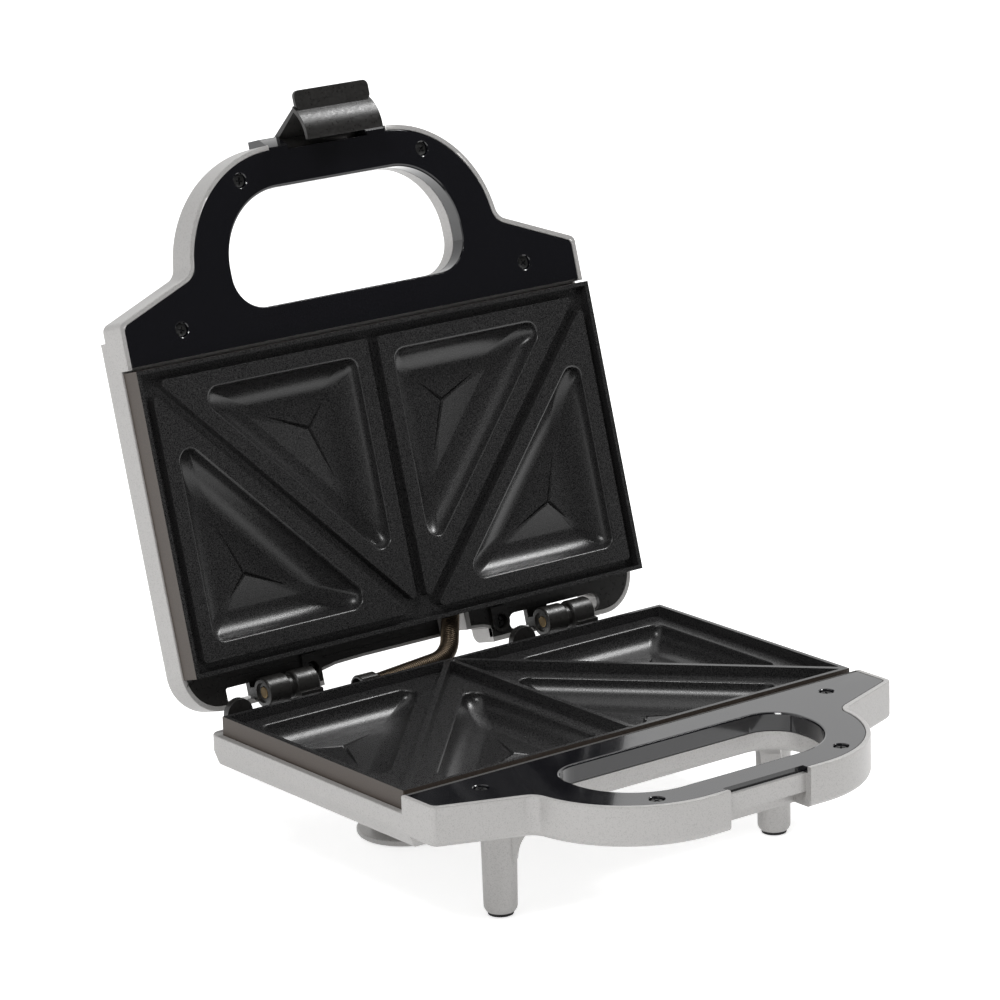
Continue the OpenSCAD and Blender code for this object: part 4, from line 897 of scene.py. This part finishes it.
combine(latch, [along_x("bore", -20, 20, PIN_Y, PIN_Z, [(0, BORE_R), (1, BORE_R)])])
soften(latch, 0.3, 3)
finish_piece(latch, "lid", "latch", HINGE, "latch")

# %% [markdown]
# Dark steel screws with a cross recess sit in the seats of both covers. Each cross is turned a little further
# than the one before it, because nobody lines screws up.

# %% Cover screws
SCREW_HEAD = [(0, 1.6), (-0.12, 2.3), (-0.45, 2.65), (-1.2, 2.65), (-8, 1.2)]  # (height over the top, radius)
CROSS_L, CROSS_T, CROSS_DEEP = 1.5, 0.33, 1.0


def cross_screws(name, z, up, half, node):
    low, high = (z - CROSS_DEEP, z + 0.5) if up > 0 else (z - 0.5, z + CROSS_DEEP)
    heads = []
    for n, (x, y) in enumerate(SCREW_SPOTS):
        head = upright(name if n == 0 else "head", x, y, facing(z, up, SCREW_HEAD), 40)
        bars = []
        for turn in (20 + 40 * n, 110 + 40 * n):
            bar = block("bar", (-CROSS_L, -CROSS_T, low), (CROSS_L, CROSS_T, high))
            spin = Matrix.Rotation(math.radians(turn), 4, "Z")
            bar.data.transform(Matrix.Translation((x, y, 0)) @ spin)
            bars.append(bar)
        heads.append(combine(head, bars))
    combine(heads[0], heads[1:], "UNION")
    soften(heads[0], 0.06, 2)
    finish_piece(heads[0], half, half, DARK_STEEL, node)


cross_screws("base_cover_screw_heads", 56.6, 1, "base", "base_cover_screws")
cross_screws("lid_cover_screw_heads", 59.4, -1, "lid", "lid_cover_screws")

# %% [markdown]
# Each hinge is a pair of black knuckles on a brass-coloured pin: the lid's on the left, the base's on the
# right. A knuckle is a turned barrel joined to its arm and then bored, since a bore that is cut last stays round
# and clean. The pin and the base's knuckle stay still while the lid's knuckle turns.

# %% Hinges
HINGE_REACH, KNUCKLE_L = 12.0, 10.5
BARREL = [(0.07, 6.15), (0.93, 6.15), (0.97, 5.95), (1, 5.5)]
PIN_ROD = [(0, 1.7), (0.01, 2.3), (0.03, 2.5), (0.97, 2.5), (0.99, 2.3), (1, 1.7)]


def on_hinge(name, x0, x1, profile):
    return along_x(name, x0, x1, HINGE_Y, HINGE_Z, profile)


def base_knuckle(side, x):
    x0, x1 = x + HINGE_REACH - KNUCKLE_L, x + HINGE_REACH
    knuckle = on_hinge(f"base_knuckle_{side}", x0, x1, [(0, 5.5), (0.03, 5.95)] + BARREL)
    collar = on_hinge("collar", x + HINGE_REACH - 13.35, x + HINGE_REACH - 10, [(0, 4.2), (0.1, 4.45), (1, 4.45)])
    arm = block("arm", (x0, BASE_BACK + 0.05, 43), (x1, BASE_BACK + 3, 57))
    neck = block("neck", (x0, BASE_BACK + 1, 51.85), (x1, HINGE_Y, 55.85))
    combine(knuckle, [collar, arm, neck], "UNION")
    combine(knuckle, [on_hinge("bore", x - 20, x + 20, [(0, 2.51), (1, 2.51)])])
    soften(knuckle, 0.25, 3)
    finish_piece(knuckle, "base", "base", HINGE, f"base_hinge_bracket_{side}")


def lid_knuckle(side, x):
    x0, x1 = x - HINGE_REACH, x - HINGE_REACH + KNUCKLE_L
    knuckle = on_hinge(f"lid_knuckle_{side}", x0, x1, [(0, 5.3), (0.03, 5.9)] + BARREL)
    tab = block("tab", (x0, 62, 66.1), (x1, 73.6, 68.6))
    stem = block("stem", (x0, HINGE_Y - 2.5, 60), (x1, HINGE_Y + 2.5, 67))
    combine(knuckle, [tab, stem], "UNION")
    combine(knuckle, [on_hinge("bore", x - 20, x + 20, [(0, 2.55), (1, 2.55)]),
                      on_hinge("mouth", x0 - 1, x0 + 0.9, [(0, 4.2), (1, 3.9)])])
    soften(knuckle, 0.25, 3)
    finish_piece(knuckle, "lid", "lid", HINGE, f"lid_hinge_bracket_{side}")


def hinge_pin(side, x):
    pin = on_hinge(f"hinge_pin_rod_{side}", x - 11.4, x + 11.4, PIN_ROD)
    soften(pin, 0)
    finish_piece(pin, "base", "base", BRASS, f"hinge_pin_{side}")


for side, x in HINGE_X.items():
    base_knuckle(side, x)
    lid_knuckle(side, x)
    hinge_pin(side, x)

# %% [markdown]
# Wires run from base to lid in a bronzed spring. A route comes first, and everything follows it: straight down
# from the lid, round one bend, and along the base's rear edge. Two straight lines and an arc are enough, and
# any place on them can be found from its length along the way.

# %% Sheath's route
SHEATH_TOP = to_row([(19, 60.4, 64.5)], "lid")[0] / MM + np.array([0, MID_Y, 0])
SHEATH_TURN = np.array([7.7, 69.0, 54.7])
SHEATH_END = np.array([-30.0, 69.0, 51.5])
BEND_R = 15.0
down = (SHEATH_TURN - SHEATH_TOP) / np.linalg.norm(SHEATH_TURN - SHEATH_TOP)
onward = (SHEATH_END - SHEATH_TURN) / np.linalg.norm(SHEATH_END - SHEATH_TURN)
bend = math.acos(float(down @ onward))
cut_back = BEND_R * math.tan(bend / 2)
run_1 = np.linalg.norm(SHEATH_TURN - SHEATH_TOP) - cut_back
run_2 = BEND_R * bend
run_3 = np.linalg.norm(SHEATH_END - SHEATH_TURN) - cut_back
route_l = run_1 + run_2 + run_3
axis = np.cross(down, onward) / np.linalg.norm(np.cross(down, onward))
inward = np.cross(axis, down)


def route(s):
    """Point and direction at a length s along the sheath."""
    start = SHEATH_TURN - down * cut_back
    a = bend * min(max((s - run_1) / run_2, 0), 1)
    way = down * math.cos(a) + inward * math.sin(a)
    if s < run_1:
        return SHEATH_TOP + down * s, way
    if s < run_1 + run_2:
        return start + BEND_R * (inward * (1 - math.cos(a)) + down * math.sin(a)), way
    return SHEATH_END - onward * (route_l - s), way


print("sheath length:", round(float(route_l), 1), "mm")

# %% [markdown]
# The coil is swept with its true round wire, so it catches light on every turn. A bumped tube would be lighter,
# but its outline would stay smooth, and the outline is what shows between the two halves.

# %% Spring and wires
SHEATH_R, WIRE_R, TURNS, TURN_STEPS, SPRING_END = 3.45, 0.42, 60, 20, 0.6
WIRES_R, WIRES_STEPS = 2.9, 60


def tube(name, centres, radius, sides):
    rings = []
    for i, c in enumerate(centres):
        t = centres[min(i + 1, len(centres) - 1)] - centres[max(i - 1, 0)]
        u = np.cross(axis, t)
        u /= np.linalg.norm(u)
        v = np.cross(t / np.linalg.norm(t), u)
        rings.append([tuple(c + radius * (u * math.cos(a) + v * math.sin(a))) for a in circle(sides)])
    piece = loft(name, rings)
    piece.data.shade_smooth()
    return piece


coil = []
for i in range(TURNS * TURN_STEPS + 1):
    p, way = route(SPRING_END + (route_l - 2 * SPRING_END) * i / (TURNS * TURN_STEPS))
    n = np.cross(axis, way)
    a = 2 * math.pi * i / TURN_STEPS
    coil.append(p + SHEATH_R * (n * math.cos(a) + axis * math.sin(a)))
spring = tube("sheath_coil", coil, WIRE_R, 8)
finish_piece(spring, "base", "base", BRONZE, "sheath_spring")
centres = [route(route_l * i / WIRES_STEPS)[0] for i in range(WIRES_STEPS + 1)]
wires = tube("sheath_wires", centres, WIRES_R, 20)
finish_piece(wires, "base", "base", SLEEVE, "wire_bundle")

# %% [markdown]
# A black saddle on the base's rear wall holds the sheath's lower end. It is a turned ring joined to a foot that
# reaches back to the wall, and bored last, so that the sheath really passes through it.

# %% Sheath's saddle
SADDLE_X0, SADDLE_X1, SADDLE_Y, SADDLE_Z = -38.2, -29.6, 69, 51.6
saddle = along_x("sheath_saddle", SADDLE_X0, SADDLE_X1, SADDLE_Y, SADDLE_Z,
                 [(0, 4.6), (0.06, 5.0), (0.94, 5.0), (1, 4.6)])
combine(saddle, [block("foot", (SADDLE_X0, BASE_BACK, 47.4), (SADDLE_X1, SADDLE_Y, 55.8))], "UNION")
combine(saddle, [along_x("bore", -40, -20, SADDLE_Y, SADDLE_Z, [(0, 3.95), (1, 3.95)])])
soften(saddle, 0.3, 2)
finish_piece(saddle, "base", "base", HINGE, "sheath_clip")

# %% [markdown]
# Behind the lower plate runs a black strip with two round humps, which show under the open lid. The humps are
# arches given a thickness, and a soft bevel melts them into the strip as one moulding.

# %% Strip with humps
HUMP_X, HUMP_R, HUMP_Z, HUMP_FOOT = (-99.7, 40.7), 6, 56.2, 51
strip = block("base_hinge_strip", (-104, REAR_Y + 0.2, 50.5), (104, REAR_Y + 5.4, 52.1))
humps = []
for x in HUMP_X:
    hump = [(x - HUMP_R, HUMP_FOOT), (x - HUMP_R, HUMP_Z)]
    for a in range(15, 181, 15):
        hump.append((x - HUMP_R * math.cos(math.radians(a)), HUMP_Z + HUMP_R * math.sin(math.radians(a))))
    hump.append((x + HUMP_R, HUMP_FOOT))
    humps.append(loft("hump", [[(px, y, pz) for px, pz in hump] for y in (REAR_Y + 2.6, REAR_Y + 5.6)]))
combine(strip, humps, "UNION")
soften(strip, 0.8, 3, angle=60)
finish_piece(strip, "base", "base", HINGE, "base_hinge_panel")

# %% [markdown]
# Rubber pads keep the feet from sliding. Each is a disc with a rounded edge and a shallow dish beneath, and the
# same profile serves both sizes, because all but its edge is a share of the radius.

# %% Rubber pads
PADS = {"front_left": (-FOOT_X, FOOT_Y, 5), "front_right": (FOOT_X, FOOT_Y, 5),
        "rear_left": (-REAR_FOOT_X, REAR_FOOT_Y, 17), "rear_right": (REAR_FOOT_X, REAR_FOOT_Y, 17)}
for name, (x, y, r) in PADS.items():
    profile = [(0.25, r * 0.6), (0.05, r * 0.64), (0, r - 0.35), (0.12, r - 0.1), (0.4, r), (1.25, r)]
    pad = upright(f"rubber_pad_{name}", x, y, profile, 64)
    soften(pad, 0)
    finish_piece(pad, "base", "base", RUBBER, f"foot_pad_{name}")

# %% [markdown]
# A bushing lines the hole for the mains lead in the rear wall. It is turned about an axis along Y: a neck that
# goes into the wall, a flange outside it, and a dished mouth.

# %% Mains bushing
BUSHING_X, BUSHING_Z = -84, 44
BUSHING = [(-6, 3.95), (0.05, 3.95), (0.06, 5.3), (0.4, 5.5), (2.3, 5.5), (3.05, 4.6), (3.0, 3.0), (1.5, 2.5),
           (-5, 2.5)]  # (distance out of the wall, radius)
turns = [math.radians(7.5 * k) for k in range(48)]
bushing = loft("mains_bushing", [[(BUSHING_X + r * math.cos(t), BASE_BACK + d, BUSHING_Z + r * math.sin(t))
                                  for t in turns] for d, r in BUSHING])
soften(bushing, 0)
finish_piece(bushing, "base", "base", HINGE, "cord_inlet")

# %% [markdown]
# Two lamps on the lid tell that the toaster is on, and that it is hot. Each is a domed lens in a black bezel.
# They are one mesh with two finishes, picked by the distance from the middle, so no gap shows between them.

# %% Lamps
LAMP_Y, LENS_R, DOME_Z, DOME_RISE = 20, 2.9, 78.55, 0.6
DOME = [(DOME_Z + DOME_RISE * math.sin(math.radians(a)), 2.95 * math.cos(math.radians(a)) + 0.02)
        for a in range(0, 91, 15)]
BEZEL = [(LID_TOP - 0.5, 4.9), (LID_TOP + 0.3, 4.9), (LID_TOP + 0.6, 4.5), (LID_TOP + 0.6, 3.6),
         (LID_TOP + 0.3, 3.2)]
for node, x, glass in (("power_lamp_lens", -14, LAMP_RED), ("ready_lamp_lens", 14, LAMP_GREEN)):
    lens = upright(node.replace("lens", "dome"), x, LAMP_Y, [(75.0, LENS_R)] + DOME)
    combine(lens, [upright("ring", x, LAMP_Y, BEZEL)], "UNION")
    soften(lens, 0)
    finish_piece(lens, "lid", "lid", glass, node, HINGE,
                 lambda c, n, x=x: math.hypot(c.x - x, c.y - LAMP_Y) > 3.0)

# %% [markdown]
# The stage is a pale floor that only the camera and mirrors see brightened, so the object keeps its soft shadow
# while the ground goes to white. The glow grows with the distance from the object, and no lamp is needed for it.

# %% Floor
def floor_material():
    m, tree, shader = material("pale floor", Base_Color=(0.85, 0.85, 0.85, 1), Roughness=0.9)
    rays = tree.nodes.new("ShaderNodeLightPath")
    seen = tree.nodes.new("ShaderNodeMath")
    seen.operation = "MAXIMUM"
    wire(tree, rays.outputs["Is Camera Ray"], seen.inputs[0])
    wire(tree, rays.outputs["Is Glossy Ray"], seen.inputs[1])
    coords = tree.nodes.new("ShaderNodeTexCoord")
    distance = tree.nodes.new("ShaderNodeVectorMath")
    distance.operation = "LENGTH"
    wire(tree, coords.outputs["Object"], distance.inputs[0])
    glow = tree.nodes.new("ShaderNodeEmission")
    wire(tree, map_range(tree, distance.outputs["Value"], (0.12, 0.6), (0.72, 1.0)), glow.inputs["Strength"])
    add = tree.nodes.new("ShaderNodeAddShader")
    mix = tree.nodes.new("ShaderNodeMixShader")
    wire(tree, shader.outputs[0], add.inputs[0])
    wire(tree, glow.outputs[0], add.inputs[1])
    wire(tree, seen.outputs[0], mix.inputs[0])
    wire(tree, shader.outputs[0], mix.inputs[1])
    wire(tree, add.outputs[0], mix.inputs[2])
    wire(tree, mix.outputs[0], tree.nodes["Material Output"].inputs["Surface"])
    return m


def map_range(tree, value, source, target, kind="LINEAR"):
    """A number that goes through the range target as value goes through the range source."""
    r = tree.nodes.new("ShaderNodeMapRange")
    r.interpolation_type = kind
    for key, number in zip(("From Min", "From Max", "To Min", "To Max"), (*source, *target)):
        r.inputs[key].default_value = number
    wire(tree, value, r.inputs["Value"])
    return r.outputs["Result"]


bpy.ops.mesh.primitive_plane_add(size=12, location=(0, 0, -0.0004))
floor = bpy.context.object
floor.name = "floor"
floor.data.materials.append(floor_material())
print("floor:", floor.dimensions.x, "m wide")

# %% [markdown]
# The world stands for a white studio. The camera sees plain white, matt surfaces get an even fill, and glossy
# ones see a room that is bright behind the object and dark in front, which gives the black covers their sheen.

# %% World
world = bpy.data.worlds.new("studio")
bpy.context.scene.world = world
world.use_nodes = True
sky = world.node_tree
FILL = 0.36


def pick(chosen, yes, no):
    """yes where chosen is 1, else no; each a socket or a number."""
    m = sky.nodes.new("ShaderNodeMix")
    wire(sky, chosen, m.inputs["Factor"])
    for socket, value in ((m.inputs["A"], no), (m.inputs["B"], yes)):
        if isinstance(value, float):
            socket.default_value = value
        else:
            wire(sky, value, socket)
    return m.outputs["Result"]


background = sky.nodes["Background"]
background.inputs["Color"].default_value = (1, 1, 1, 1)
rays = sky.nodes.new("ShaderNodeLightPath")
coords = sky.nodes.new("ShaderNodeTexCoord")
split = sky.nodes.new("ShaderNodeSeparateXYZ")
wire(sky, coords.outputs["Generated"], split.inputs[0])
room = map_range(sky, split.outputs["Y"], (-0.35, 0.25), (0.06, 1.0), "SMOOTHSTEP")
strength = pick(rays.outputs["Is Camera Ray"], 1.0, pick(rays.outputs["Is Glossy Ray"], room, FILL))
wire(sky, strength, background.inputs["Strength"])
print("world fill:", FILL)

# %% [markdown]
# Three soft lamps are placed for what they do to edges: the key draws the bevels, the one overhead runs along
# the pocket walls, and a weak one on the left keeps the silver sides from going dull.

# %% Lamps of the studio
def area_light(name, place, target, size, power):
    lamp = bpy.data.lights.new(name, "AREA")
    lamp.shape, lamp.size, lamp.size_y, lamp.energy = "RECTANGLE", size[0], size[1], power
    o = bpy.data.objects.new(name, lamp)
    bpy.context.scene.collection.objects.link(o)
    o.location = place
    o.rotation_euler = (Vector(target) - Vector(place)).to_track_quat("-Z", "Y").to_euler()


area_light("key", (-0.9, -0.6, 1.3), (0, 0, 0.1), (0.4, 0.4), 9)
area_light("overhead", (0.75, -0.05, 1.15), (0, 0, 0.15), (0.42, 0.3), 8)
area_light("left", (-1.5, -0.2, 0.5), (0, 0, 0.1), (0.5, 0.8), 0.8)
print("lamps:", len(bpy.data.lights))

# %% [markdown]
# The camera was worked out from the corners of the plates: a long lens, a little above the object and to the
# left of it. Its three directions are written as a matrix, which is more exact than angles read off by eye.

# %% Camera
FOCAL_PX, FRAME_PX, SENSOR = 4664.4, 1000, 36.0
RIGHT, UP = Vector((0.79149, -0.61057, -0.02734)), Vector((0.18496, 0.19665, 0.96287))
FORWARD = Vector((0.58252, 0.76716, -0.26858))
EYE = Vector((-1063.65, -1378.96 - MID_Y, 622.14))
camera = bpy.data.cameras.new("camera")
camera.sensor_width, camera.lens, camera.clip_start = SENSOR, FOCAL_PX / FRAME_PX * SENSOR, 0.05
eye = bpy.data.objects.new("camera", camera)
bpy.context.scene.collection.objects.link(eye)
eye.matrix_world = Matrix.Translation(EYE * MM) @ Matrix((RIGHT, UP, -FORWARD)).transposed().to_4x4()
bpy.context.scene.camera = eye
bpy.context.scene.view_settings.view_transform = "Standard"
print("lens:", round(camera.lens, 1), "mm")
